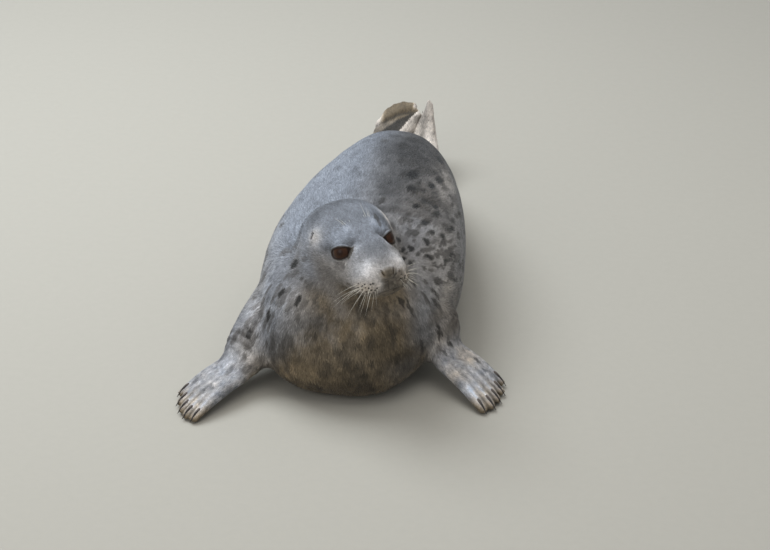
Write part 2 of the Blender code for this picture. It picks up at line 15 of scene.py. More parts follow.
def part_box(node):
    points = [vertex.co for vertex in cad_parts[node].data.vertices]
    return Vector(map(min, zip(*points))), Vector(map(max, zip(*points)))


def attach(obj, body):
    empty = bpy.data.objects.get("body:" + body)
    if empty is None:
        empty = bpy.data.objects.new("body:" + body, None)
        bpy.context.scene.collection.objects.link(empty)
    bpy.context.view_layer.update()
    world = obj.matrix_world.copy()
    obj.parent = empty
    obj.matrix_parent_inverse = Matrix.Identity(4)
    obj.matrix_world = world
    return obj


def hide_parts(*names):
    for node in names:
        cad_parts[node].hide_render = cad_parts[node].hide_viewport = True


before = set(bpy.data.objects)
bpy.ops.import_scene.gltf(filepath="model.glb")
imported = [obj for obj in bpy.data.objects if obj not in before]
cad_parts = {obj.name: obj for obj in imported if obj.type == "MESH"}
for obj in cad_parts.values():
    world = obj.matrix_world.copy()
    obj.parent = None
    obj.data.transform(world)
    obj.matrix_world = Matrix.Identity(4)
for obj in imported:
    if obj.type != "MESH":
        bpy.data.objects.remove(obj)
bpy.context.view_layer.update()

# ---------------------------------------------------------------------------------------------
# Sizes
# ---------------------------------------------------------------------------------------------
FLESH = ("chest", "trunk", "hindquarters", "tail", "neck", "head", "muzzle", "lower_jaw", "nose",
         "fore_flipper_left", "fore_flipper_right", "hind_flipper_left", "hind_flipper_right")
SIDES = (("left", 1), ("right", -1))

SWELL = 0.0006                 # each piece of flesh is swollen by this, to run into its neighbours
SKIN_VOXEL = 0.0050
SKIN_ROUNDS = 34               # rounds of smoothing
SKIN_FLOOR_GAP = 0.0004
LIE_ROUNDS = 26                # rounds that draw the lie of each tuft towards its neighbours'
EYE_RADIUS = 0.0215
EYE_AIM = (0.65, -0.67, 0.36)          # optical axis of the left eye, in the head's frame
EYE_INWARD = (-1.0, -0.30, 0.02)       # roughly from the left eye to the nose, along the lids
LID_HALF_LENGTH = 0.0181
LID_HALF_HEIGHTS = (0.0066, 0.0102)    # above and below the line between the corners
LID_POWERS = (2.9, 2.0)                # a flat upper lid and a round lower one
CORNERS = (0.0006, 0.0028)             # how far the inner and outer corners are drawn out

NOSE_PAD = (0.0, -0.0960, -0.0210)
NOSTRIL_TOP = (0.0125, -0.1010, -0.0130)
NOSTRIL_LOW = (0.0070, -0.1060, -0.0270)
EAR_OPENING = (0.0740, 0.0670, 0.0100)
BROW = (0.0260, 0.0060, 0.0340)
MUZZLE_SIDE = (0.0250, -0.0860, -0.0190)
WHISKER_PAD = (0.0400, -0.0800, -0.0440)

# Middle of each wrist, the way its hand points along the floor, and the way across the hand.
FORE_LIMBS = {
    "left": dict(wrist=(0.169, -0.345, 0.058), heading=(0.838, -0.546, 0.0), spread=(-0.546, -0.838, 0.0)),
    "right": dict(wrist=(-0.199, -0.451, 0.044), heading=(-0.566, -0.824, 0.0), spread=(0.824, -0.566, 0.0)),
}

BETWEEN_ANKLES = (-0.050, 0.450, 0.060)
HIND_ANKLE = (-0.065, 0.478, 0.055)    # the hind webs are measured from here
HIND_HEADING = (0.0, 0.84, 0.54)
HIND_LENGTH = 0.135            # from there to the rim
HIND_START = 0.475             # all that lies further back than this belongs to the hind flippers
HEAD_BACK = 0.105              # the head ends this far behind its origin
HEAD_FLOOR = 0.17              # and lies above this height

TUFT_COUNT = 232000
PIECE_LIMIT = 32000            # tufts in one piece of the coat
BARE_BELOW = 0.0022            # no tufts where the belly lies on the floor
THIN_BELOW = 0.010             # and half as many just above it
BAKE_PATCH = 0.003
BODY_TUFT = (0.0115, 0.00070)  # length and half width of a tuft
HEAD_TUFT = (0.0058, 0.00048)
FACE_TUFT = (0.0026, 0.00036)
LID_TUFT = (0.0022, 0.00032)
HAND_TUFT = (0.0062, 0.00050)
DIGIT_TUFT = (0.0046, 0.00042)

rng = np.random.default_rng(7)


# ---------------------------------------------------------------------------------------------
# Arrays of points
# ---------------------------------------------------------------------------------------------
def rise(values, low, high):
    """A smooth step from 0 at `low` to 1 at `high`."""
    t = np.clip((values - low) / (high - low), 0.0, 1.0)
    return t * t * (3.0 - 2.0 * t)


def unit(vectors):
    return vectors / np.maximum(np.linalg.norm(vectors, axis=-1, keepdims=True), 1e-12)


def patch(points, centre, radii):
    """A soft spot: 1 at the centre, fading out past the radii."""
    return np.exp(-np.sum(((points - np.array(centre)) / np.array(radii)) ** 2, axis=1))


def mirror(place, side):
    return np.array((side * place[0], place[1], place[2]))


def from_segment(points, start, end):
    """Distance of each point from a segment, and the share of the way along it."""
    start, end = np.array(start), np.array(end)
    along = np.clip(((points - start) @ (end - start)) / np.sum((end - start) ** 2), 0.0, 1.0)
    return np.linalg.norm(points - start - along[:, None] * (end - start), axis=1), along


def node_middle(name):
    low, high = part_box(name)
    return np.array((low + high) / 2)


# The head's frame: origin near the brow, +x to its left, -y to the nose, +z to the crown.
eye_middles = {side: node_middle("eye_" + side) for side, _ in SIDES}
between_eyes = (eye_middles["left"] + eye_middles["right"]) / 2
head_x = unit(eye_middles["left"] - eye_middles["right"])
backward = between_eyes - node_middle("nose")
backward = unit(backward - head_x * np.dot(backward, head_x))
NOSE_DROP = math.atan2(0.0145, 0.0970)         # the nose lies this far below the line of the skull
head_y = backward * math.cos(NOSE_DROP) - np.cross(head_x, backward) * math.sin(NOSE_DROP)
HEAD_AXES = np.stack((head_x, head_y, np.cross(head_x, head_y)), axis=1)
EYE_IN_HEAD = np.array((0.0385, 0.0035, -0.0065))
head_origin = between_eyes - HEAD_AXES @ (EYE_IN_HEAD * (0, 1, 1))


def to_head(points):
    return (points - head_origin) @ HEAD_AXES


def from_head(points):
    return np.asarray(points) @ HEAD_AXES.T + head_origin


def eye_frame(side):
    """Centre, optical axis, direction to the inner corner and upward direction, in the head."""
    axis = unit(mirror(EYE_AIM, side))
    inward = mirror(EYE_INWARD, side)
    inward = unit(inward - axis * np.dot(inward, axis))
    upward = np.cross(axis, inward) * -side
    return mirror(EYE_IN_HEAD, side), axis, inward, upward


def lid_reach(angle):
    """How far the opening between the lids reaches from the optical axis, as arc length."""
    above = np.sin(angle) > 0
    height = np.where(above, *LID_HALF_HEIGHTS)
    power = np.where(above, *LID_POWERS)
    oval = (np.abs(np.cos(angle) / LID_HALF_LENGTH) ** power
            + np.abs(np.sin(angle) / height) ** power) ** (-1.0 / power)
    turn = np.abs(np.arctan2(np.sin(angle), np.cos(angle)))
    inner = CORNERS[0] * np.exp(-(turn / 0.28) ** 2)
    outer = CORNERS[1] * np.exp(-((math.pi - turn) / 0.55) ** 2)
    return oval + inner + outer


def lid_places(local, side):
    """For points in the head's frame: distance from the eye's middle, arc past the lids, angle."""
    centre, axis, inward, upward = eye_frame(side)
    offset = local - centre
    distance = np.linalg.norm(offset, axis=1)
    ray = offset / np.maximum(distance, 1e-9)[:, None]
    swing = np.arccos(np.clip(ray @ axis, -1, 1)) * EYE_RADIUS
    angle = np.arctan2(ray @ upward, ray @ inward)
    return distance, swing - lid_reach(angle), angle


# ---------------------------------------------------------------------------------------------
# Skin
# ---------------------------------------------------------------------------------------------
def new_object(name, mesh):
    obj = bpy.data.objects.new(name, mesh)
    bpy.context.scene.collection.objects.link(obj)
    return obj


def read_values(items, key, width, kind=np.float32):
    """The named values of a mesh's items, one row for each item."""
    flat = np.empty(len(items) * width, kind)
    items.foreach_get(key, flat)
    return flat.reshape(-1, width)


def coordinates(mesh):
    return read_values(mesh.vertices, "co", 3).astype(float)


def set_coordinates(mesh, points):
    mesh.vertices.foreach_set("co", points.astype(np.float32).ravel())
    mesh.update()


def normals_of(mesh):
    return read_values(mesh.vertex_normals, "vector", 3).astype(float)


def edges_of(mesh):
    return read_values(mesh.edges, "vertices", 2, np.int32)


def neighbour_mean(values, edges):
    count = len(values)
    degree = np.maximum(np.bincount(edges.ravel(), minlength=count), 1)
    total = np.stack([np.bincount(edges[:, 0], weights=values[edges[:, 1], k], minlength=count)
                      + np.bincount(edges[:, 1], weights=values[edges[:, 0], k], minlength=count)
                      for k in range(values.shape[1])], axis=1)
    return total / degree[:, None]


def relax(points, edges, weight, rounds):
    """Smooth without shrinking: each round draws the points in and lets most of it back out."""
    for _ in range(rounds):
        for step in (0.50, -0.51):
            points = points + (step * weight)[:, None] * (neighbour_mean(points, edges) - points)
    return points


def flesh_shell():
    """All the flesh as one mesh; the eyeballs fill their sockets until the lids are modelled."""
    bm = bmesh.new()
    for name in FLESH + ("eye_left", "eye_right"):
        bm.from_mesh(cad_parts[name].data)
    bmesh.ops.remove_doubles(bm, verts=bm.verts, dist=1e-6)
    bm.normal_update()
    for vert in bm.verts:
        vert.co += vert.normal * SWELL
    mesh = bpy.data.meshes.new("skin")
    bm.to_mesh(mesh)
    bm.free()
    shell = new_object("skin", mesh)
    remesh = shell.modifiers.new("One skin", "REMESH")
    remesh.mode = "VOXEL"
    remesh.voxel_size = SKIN_VOXEL
    fused = bpy.data.meshes.new_from_object(shell.evaluated_get(bpy.context.evaluated_depsgraph_get()))
    shell.modifiers.clear()
    shell.data = fused
    return shell


class Regions:
    """Which CAD node lies nearest to a point."""

    def __init__(self):
        verts, polygons, self.owner = [], [], []
        for index, name in enumerate(FLESH):
            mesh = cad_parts[name].data
            base = len(verts)
            verts += [vert.co.copy() for vert in mesh.vertices]
            for polygon in mesh.polygons:
                polygons.append([base + i for i in polygon.vertices])
                self.owner.append(index)
        self.tree = BVHTree.FromPolygons(verts, polygons)

    def of(self, points):
        return np.array([self.owner[self.tree.find_nearest(Vector(point))[2]] for point in points])


def is_on_head(points, local):
    return (local[:, 1] < HEAD_BACK) & (points[:, 2] > HEAD_FLOOR)


def share_of(region, edges, names, rounds):
    """How much of each vertex belongs to the named nodes, with soft borders."""
    wanted = [FLESH.index(name) for name in names]
    share = np.isin(region, wanted).astype(float)[:, None]
    for _ in range(rounds):
        share = 0.5 * share + 0.5 * neighbour_mean(share, edges)
    return share[:, 0]


def subdivide(mesh, chosen):
    """Split the faces whose middle is chosen into four."""
    bm = bmesh.new()
    bm.from_mesh(mesh)
    middles = np.array([face.calc_center_median() for face in bm.faces])
    picked = chosen(middles)
    edges = {edge for face, pick in zip(bm.faces, picked) if pick for edge in face.edges}
    bmesh.ops.subdivide_edges(bm, edges=list(edges), cuts=1, use_grid_fill=True)
    bm.to_mesh(mesh)
    bm.free()
    mesh.update()


def near_digits(points):
    near = np.zeros(len(points), bool)
    for limb in FORE_LIMBS.values():
        offset = points - np.array(limb["wrist"])
        near |= (offset @ np.array(limb["heading"]) > -0.03) & (np.linalg.norm(offset, axis=1) < 0.21) \
            & (points[:, 2] < 0.11)
    return near | (points[:, 1] > HIND_START)


def coarse_detail(points):
    return is_on_head(points, to_head(points)) | near_digits(points)


def face_detail(points):
    local = to_head(points)
    near = (local[:, 1] < -0.035) & (np.abs(local[:, 0]) < 0.09) & (local[:, 2] > -0.12)
    for _, side in SIDES:
        near |= np.linalg.norm(local - mirror(EYE_IN_HEAD, side), axis=1) < 0.036
        near |= np.linalg.norm(local - mirror(EAR_OPENING, side), axis=1) < 0.014
    return near


def fine_detail(points):
    local = to_head(points)
    near = (np.linalg.norm(local - np.array(NOSE_PAD), axis=1) < 0.023) & (local[:, 1] < -0.085)
    near |= (np.abs(mouth_height(local)) < 0.0045) & (local[:, 1] < -0.038)
    for _, side in SIDES:
        distance, past, _ = lid_places(local, side)
        near |= (np.abs(past - 0.002) < 0.005) & (distance < 0.034)
    return near


def mouth_height(local):
    """Height above the line between the lips, which rises a little towards the corners."""
    back = rise(local[:, 1], -0.100, -0.040)
    return local[:, 2] - (-0.0585 + 0.0050 * back + 0.10 * np.abs(local[:, 0]) * back)


def model_eyes(local):
    """Draw the skin onto the eyeballs round the openings, with an upper fold and a lower pouch."""
    for _, side in SIDES:
        centre = mirror(EYE_IN_HEAD, side)
        distance, past, angle = lid_places(local, side)
        above = np.clip(np.sin(angle), 0, 1)
        below = np.clip(-np.sin(angle), 0, 1)
        lid = EYE_RADIUS + 0.0008 - 0.0048 * (1 - rise(past, 0.0004, 0.0032))
        lid += 0.0016 * np.exp(-((past - 0.0048) / 0.0024) ** 2)
        lid -= 0.0012 * above * np.exp(-((past - 0.0088) / 0.0016) ** 2)
        lid -= 0.0010 * below * np.exp(-((past - 0.0100) / 0.0022) ** 2)
        lid += 0.0018 * above * rise(past, 0.009, 0.014)
        hold = (1 - rise(past, 0.0065, 0.0180)) * (distance < 0.045)
        moved = centre + (local - centre) * (lid / np.maximum(distance, 1e-6))[:, None]
        local = local + (moved - local) * hold[:, None]
    return local


# How the face bulges sideways: middle, reach, how far; the last draws in the bridge before the eyes.
CHEEKS = (
    ((0.044, -0.046, -0.048), (0.0200, 0.026, 0.018), 0.0055),
    ((0.060, -0.005, -0.050), (0.0200, 0.030, 0.022), 0.0030),
    ((0.030, -0.050, -0.003), (0.0145, 0.024, 0.017), -0.0098),
)


def model_muzzle(local):
    """Cheeks, nostrils, the groove under them, the line between the lips and the whisker pads."""
    face = local[:, 1] < -0.030
    for _, side in SIDES:
        for middle, reach, bulge in CHEEKS:
            local[:, 0] += side * bulge * patch(local, mirror(middle, side), reach)
    nose_pad = patch(local, NOSE_PAD, (0.017, 0.014, 0.013))
    local[:, 1] -= 0.0015 * nose_pad * face
    for _, side in SIDES:
        near, along = from_segment(local, mirror(NOSTRIL_TOP, side), mirror(NOSTRIL_LOW, side))
        slit = np.exp(-(near / (0.0017 - 0.0005 * along)) ** 2)
        rim = np.exp(-((near - 0.0036) / 0.0018) ** 2)
        local[:, 1] += (0.0062 * slit - 0.0009 * rim) * face
        pad = patch(local, mirror(WHISKER_PAD, side), (0.020, 0.026, 0.017))
        local[:, 0] += side * 0.0022 * pad
        local[:, 2] -= 0.0012 * pad
    front = 1 - rise(local[:, 1], -0.094, -0.084)
    under_nose = rise(local[:, 2], -0.058, -0.052) * (1 - rise(local[:, 2], -0.036, -0.030))
    local[:, 1] += 0.0026 * np.exp(-(local[:, 0] / 0.0016) ** 2) * front * under_nose
    lips = np.exp(-(mouth_height(local) / 0.0017) ** 2) * (1 - rise(local[:, 1], -0.048, -0.038))
    inward = unit(local * (1, 1, 0) - np.array((0, -0.045, 0)))
    local -= inward * (0.0024 * lips * face)[:, None]
    return local


def model_ears(local):
    for _, side in SIDES:
        offset = local - mirror(EAR_OPENING, side)
        across = np.sqrt((offset[:, 1] / 0.0018) ** 2 + (offset[:, 2] / 0.0052) ** 2)
        near = np.abs(offset[:, 0]) < 0.02
        local[:, 0] -= side * 0.0080 * np.exp(-across ** 2) * near
        local[:, 0] += side * 0.0012 * np.exp(-((across - 2.2) / 0.9) ** 2) * near
    return local


# Folds across the neck: how far behind the head's origin, depth, half width.
NECK_FOLDS = ((0.120, 0.0045, 0.007), (0.146, 0.0022, 0.007), (0.176, 0.0026, 0.010))
WRIST_WRINKLE = 0.0105         # from one wrinkle to the next


def model_folds(points, normals):
    """Soft folds of the neck and wrinkles over the wrists."""
    local = to_head(points)
    push = np.zeros(len(points))
    for place, depth, width in NECK_FOLDS:
        bend = place + 0.18 * (local[:, 2] + 0.03)
        push -= depth * np.exp(-((local[:, 1] - bend) / width) ** 2) * rise(local[:, 2], -0.10, -0.02)
    for limb in FORE_LIMBS.values():
        offset = points - np.array(limb["wrist"])
        along = offset @ np.array(limb["heading"])
        across = offset @ np.array(limb["spread"])
        ring = along + 1.6 * across ** 2
        ripple = np.cos(2 * math.pi * ring / WRIST_WRINKLE)
        near = np.exp(-((along + 0.012) / 0.017) ** 2) * (np.linalg.norm(offset, axis=1) < 0.08)
        push += 0.0011 * ripple * near * rise(points[:, 2], 0.02, 0.05)
    return points + normals * push[:, None]


def out_on_hand(points, low, high):
    """From 0 to 1 along each fore flipper, measured from its wrist."""
    share = np.zeros(len(points))
    for limb in FORE_LIMBS.values():
        offset = points - np.array(limb["wrist"])
        near = np.linalg.norm(offset, axis=1) < 0.22
        share = np.maximum(share, rise(offset @ np.array(limb["heading"]), low, high) * near)
    return share


def hind_places(points):
    """How far along the hind flippers a point is, from 0 at the ankle to 1 at the rim."""
    along = (points - np.array(HIND_ANKLE)) @ unit(np.array(HIND_HEADING))
    return np.clip(along / HIND_LENGTH, 0, 1.2) * (points[:, 1] > HIND_ANKLE[1])


def blade_fold(along, x, start):
    """A crease across the curled right blade, this share of the way out, and further out inside."""
    return np.exp(-((along - start - 0.10 * rise(x, -0.13, -0.07)) / 0.045) ** 2)


def model_hind_flippers(points, left, right):
    """Draw the webs out past the claws: one blade curls over, the other ends in a point."""
    along = hind_places(points)
    x = points[:, 0]
    rim = rise(along, 0.45, 0.98)
    curl = right * rim * (0.013 - 0.006 * rise(-x, 0.110, 0.150))
    point = left * rim * (0.003 + 0.014 * np.exp(-((x + 0.022) / 0.016) ** 2))
    moved = points.copy()
    moved[:, 2] += curl + point
    inner = rise(-x, 0.020, 0.050)
    lean = left * inner * rise(along, 0.25, 0.55) * (1 - rise(along, 0.64, 0.86))
    moved[:, 0] += 0.012 * left * inner * rise(along, 0.80, 1.0) - 0.014 * lean
    moved[:, 1] -= 0.008 * lean
    beside = rise(x, -0.080, -0.055)
    moved[:, 0] += 0.016 * right * beside * rise(along, 0.30, 0.60) * (1 - rise(along, 0.80, 0.95))
    moved[:, 1] += 0.004 * right * beside
    fold = blade_fold(along, x, 0.74) * right
    back = np.array((0.25, 0.50, -0.70))
    return moved + back * (0.0050 * fold)[:, None]


def lumps(points, size, height):
    """Gentle unevenness of fat and muscle."""
    wave = np.array([noise.noise(Vector(point) / size) for point in points])
    return height * wave


def build_skin():
    shell = flesh_shell()
    mesh = shell.data
    regions = Regions()
    points = coordinates(mesh)
    edges = edges_of(mesh)
    region = regions.of(points)
    body = share_of(region, edges, ("chest", "trunk", "hindquarters", "neck"), 6)
    head = share_of(region, edges, ("head", "muzzle", "lower_jaw", "nose"), 4)
    hand = share_of(region, edges, ("fore_flipper_left", "fore_flipper_right"), 2)
    hand = hand * (1 - out_on_hand(points, 0.095, 0.130))
    blade = rise(hind_places(points), 0.15, 0.40)
    firm = np.clip(body + 0.45 * head + 0.70 * hand + 0.45 * blade, 0, 1)
    points = relax(points, edges, 0.18 + 0.82 * firm, SKIN_ROUNDS)
    set_coordinates(mesh, points)
    for chosen in (coarse_detail, face_detail):
        subdivide(mesh, chosen)
        points = coordinates(mesh)
        weight = np.where(chosen(points), 0.6, 0.0)
        set_coordinates(mesh, relax(points, edges_of(mesh), weight, 5))
    subdivide(mesh, fine_detail)
    points = coordinates(mesh)
    edges = edges_of(mesh)
    region = regions.of(points)
    body = share_of(region, edges, ("chest", "trunk", "hindquarters", "neck"), 12)
    head = share_of(region, edges, ("head",), 12)
    inside = coat_depth(points, body, head)
    points = points + normals_of(mesh) * (lumps(points, 0.055, 0.0016) * body - inside)[:, None]
    hind = [share_of(region, edges, ("hind_flipper_" + name,), 3) for name, _ in SIDES]
    points = model_hind_flippers(points, *hind)
    set_coordinates(mesh, points)
    points = model_folds(points, normals_of(mesh))
    local = to_head(points)
    shaped = model_ears(model_muzzle(model_eyes(local.copy())))
    points = np.where(is_on_head(points, local)[:, None], from_head(shaped), points)
    points[:, 2] = np.maximum(points[:, 2], SKIN_FLOOR_GAP)
    set_coordinates(mesh, points)
    mesh.shade_smooth()
    return shell, region


def coat_depth(points, soft, head):
    """The skin lies this far inside the outline of the coat."""
    local = to_head(points)
    depth = 0.0008 + 0.0017 * soft + 0.0008 * head
    face = (1 - rise(local[:, 1], -0.06, 0.03)) * (points[:, 2] > HEAD_FLOOR)
    return depth * (1 - 0.7 * face * (1 - soft))


# ---------------------------------------------------------------------------------------------
# Markings and painted light and shade, shared by skin and coat
# ---------------------------------------------------------------------------------------------
# Dark spots placed one by one: middle, half width, stretch along the lie of the coat.
SPOTS = (
    # left shoulder
    (0.080, -0.330, 0.270, 0.0070, 1.1),
    (0.100, -0.320, 0.250, 0.0078, 1.1),
    (0.107, -0.347, 0.237, 0.0060, 1.6),
    (0.123, -0.276, 0.247, 0.0100, 1.1),
    (0.145, -0.218, 0.228, 0.0085, 1.3),
    (0.135, -0.300, 0.226, 0.0065, 2.4),
    (0.088, -0.200, 0.280, 0.0065, 1.6),
    (0.118, -0.150, 0.260, 0.0060, 2.0),
    (0.112, -0.228, 0.262, 0.0085, 2.2),
    (0.128, -0.238, 0.247, 0.0060, 1.6),
    (0.094, -0.340, 0.258, 0.0050, 1.4),
    (0.092, -0.352, 0.245, 0.0048, 1.6),
    # left flank
    (0.164, -0.223, 0.194, 0.0042, 4.0),
    (0.174, -0.245, 0.153, 0.0045, 4.5),
    (0.158, -0.260, 0.200, 0.0045, 3.0),
    (0.150, -0.160, 0.215, 0.0055, 3.0),
    # back
    (0.060, -0.090, 0.290, 0.0130, 2.0),
    (0.107, -0.030, 0.255, 0.0110, 2.4),
    (0.086, 0.095, 0.240, 0.0130, 2.0),
    (0.070, -0.150, 0.290, 0.0090, 1.8),
    (0.100, -0.090, 0.270, 0.0080, 2.2),
    # right side of the neck and right shoulder
    (-0.100, -0.400, 0.240, 0.0075, 1.5),
    (-0.142, -0.443, 0.152, 0.0090, 1.5),
    (-0.179, -0.437, 0.108, 0.0095, 1.4),
    (-0.117, -0.431, 0.200, 0.0075, 1.8),
    (-0.083, -0.458, 0.197, 0.0060, 2.2),
)
# Fields of smaller ones: middle, reach, how many, smallest and largest half width, strength, stretch.
SPOT_FIELDS = (
    ("left shoulder", (0.115, -0.280, 0.240), (0.045, 0.090, 0.050), 26, 0.0028, 0.0050, 0.80, 1.8),
    ("left flank", (0.165, -0.200, 0.180), (0.040, 0.160, 0.080), 80, 0.0030, 0.0062, 0.85, 3.6),
    ("left back", (0.100, -0.060, 0.275), (0.050, 0.170, 0.050), 40, 0.0040, 0.0085, 0.75, 2.6),
    ("back", (0.075, 0.120, 0.270), (0.060, 0.200, 0.070), 40, 0.0070, 0.0140, 0.55, 2.2),
    ("right neck", (-0.105, -0.430, 0.205), (0.040, 0.060, 0.070), 18, 0.0035, 0.0075, 0.60, 2.0),
    ("right shoulder", (-0.155, -0.420, 0.120), (0.050, 0.090, 0.070), 46, 0.0050, 0.0100, 0.70, 1.8),
    ("right flank", (-0.170, -0.150, 0.150), (0.050, 0.220, 0.080), 60, 0.0040, 0.0090, 0.60, 2.8),
    ("chest", (0.020, -0.480, 0.110), (0.130, 0.050, 0.080), 90, 0.0030, 0.0085, 0.45, 1.8),
    ("chest clouds", (-0.010, -0.490, 0.110), (0.110, 0.050, 0.050), 30, 0.0080, 0.0150, 0.42, 1.3),
    ("hindquarters", (-0.010, 0.260, 0.180), (0.140, 0.170, 0.120), 60, 0.0050, 0.0110, 0.50, 2.4),
    ("left flipper", (0.205, -0.390, 0.055), (0.050, 0.050, 0.040), 10, 0.0030, 0.0060, 0.70, 1.8),
    ("right flipper", (-0.225, -0.500, 0.045), (0.050, 0.050, 0.040), 8, 0.0035, 0.0065, 0.45, 1.8),
)


def scatter_spots(points, lie):
    """Every spot on the skin, stretched along the lie of the coat."""
    spots = []
    for x, y, z, size, stretch in SPOTS:
        place = np.argmin(np.sum((points - (x, y, z)) ** 2, axis=1))
        spots.append((points[place], lie[place], size, 1.0, stretch))
    for _, middle, reach, count, small, large, strength, stretch in SPOT_FIELDS:
        weight = patch(points, middle, reach)
        places = rng.choice(len(points), count, replace=False, p=weight / weight.sum())
        sizes = rng.uniform(small, large, count)
        for place, size in zip(places, sizes):
            spots.append((points[place], lie[place], size, strength * rng.uniform(0.75, 1.0),
                          stretch * rng.uniform(0.8, 1.2)))
    return spots


def spot_darkness(points, spots):
    dark = np.zeros(len(points))
    for centre, along, size, strength, stretch in spots:
        offset = points - centre
        near = np.where(np.sum(offset ** 2, axis=1) < (size * stretch * 2.2) ** 2)[0]
        forward = offset[near] @ along
        sideways2 = np.sum(offset[near] ** 2, axis=1) - forward ** 2
        reach = np.sqrt((forward / stretch) ** 2 + np.maximum(sideways2, 0)) / size
        dark[near] = np.maximum(dark[near], strength * (1 - rise(reach, 0.62, 1.25)))
    return dark


def digit_stripes(points):
    """Pale along the digits and dark between them, and how far out on the hand a point is."""
    pale = np.zeros(len(points))
    between = np.zeros(len(points))
    out = np.zeros(len(points))
    for side, limb in FORE_LIMBS.items():
        wrist = np.array(limb["wrist"]) * (1, 1, 0)
        flat = points * (1, 1, 0)
        offset = flat - wrist
        along = offset @ np.array(limb["heading"])
        hand = rise(along, 0.035, 0.085) * (np.linalg.norm(offset, axis=1) < 0.20) * (points[:, 2] < 0.09)
        nearest = np.full(len(points), 1.0)
        for digit in range(1, 6):
            tip = node_middle("claw_fore_%s_%d" % (side, digit)) * (1, 1, 0)
            root = wrist + (tip - wrist - np.array(limb["heading"]) * 0.15) * 0.5
            distance, _ = from_segment(flat, root, tip)
            nearest = np.minimum(nearest, distance)
        pale = np.maximum(pale, hand * np.exp(-(nearest / 0.0042) ** 2))
        between = np.maximum(between, hand * rise(nearest, 0.0058, 0.0092))
        out = np.maximum(out, hand * rise(along, 0.085, 0.135))
    return pale, between, out


def wander(points, size):
    """Three channels of smooth noise about zero."""
    return np.array([noise.noise_vector(Vector(point)) for point in points / size])


def ease(values, share, target):
    """Move values towards the target by each point's share."""
    return values * (1 - share) + target * share


COAT_LEVEL = 0.182             # grey level and warmth that every patch starts from
COAT_WARMTH = 0.27
# Pale bands: the two ends of the line they follow.
PALE_LEFT_SHOULDER = ((0.115, -0.270, 0.250), (0.150, -0.350, 0.160))
# The right band is partly pale coat and partly painted light on the lit right side.
PALE_RIGHT_SHOULDER = ((-0.112, -0.410, 0.225), (-0.185, -0.435, 0.100))
# Dark patches: middle, reach.
SADDLE = ((0.058, 0.100, 0.290), (0.060, 0.260, 0.120))
LOINS = ((0.015, 0.290, 0.230), (0.120, 0.170, 0.110))
# Darker throat: partly its brown coat, partly painted shade under the head.
THROAT_SHADE = ((-0.045, -0.490, 0.168), (0.050, 0.050, 0.024))
# Painted shade in the crease between the chest and the left fore flipper.
ARM_CREASE_SHADE = ((0.120, -0.446, 0.080), (0.024, 0.034, 0.030))
WRIST_BAR = ((0.205, -0.385, 0.050), (0.012, 0.030, 0.030))
# A patch of painted shade over the left eye and a pale patch between the eyes, in the head's frame.
LEFT_BROW_SHADE = ((0.046, 0.018, 0.022), (0.018, 0.024, 0.018))
NOSE_BRIDGE = ((0.0, -0.045, 0.000), (0.020, 0.045, 0.030))

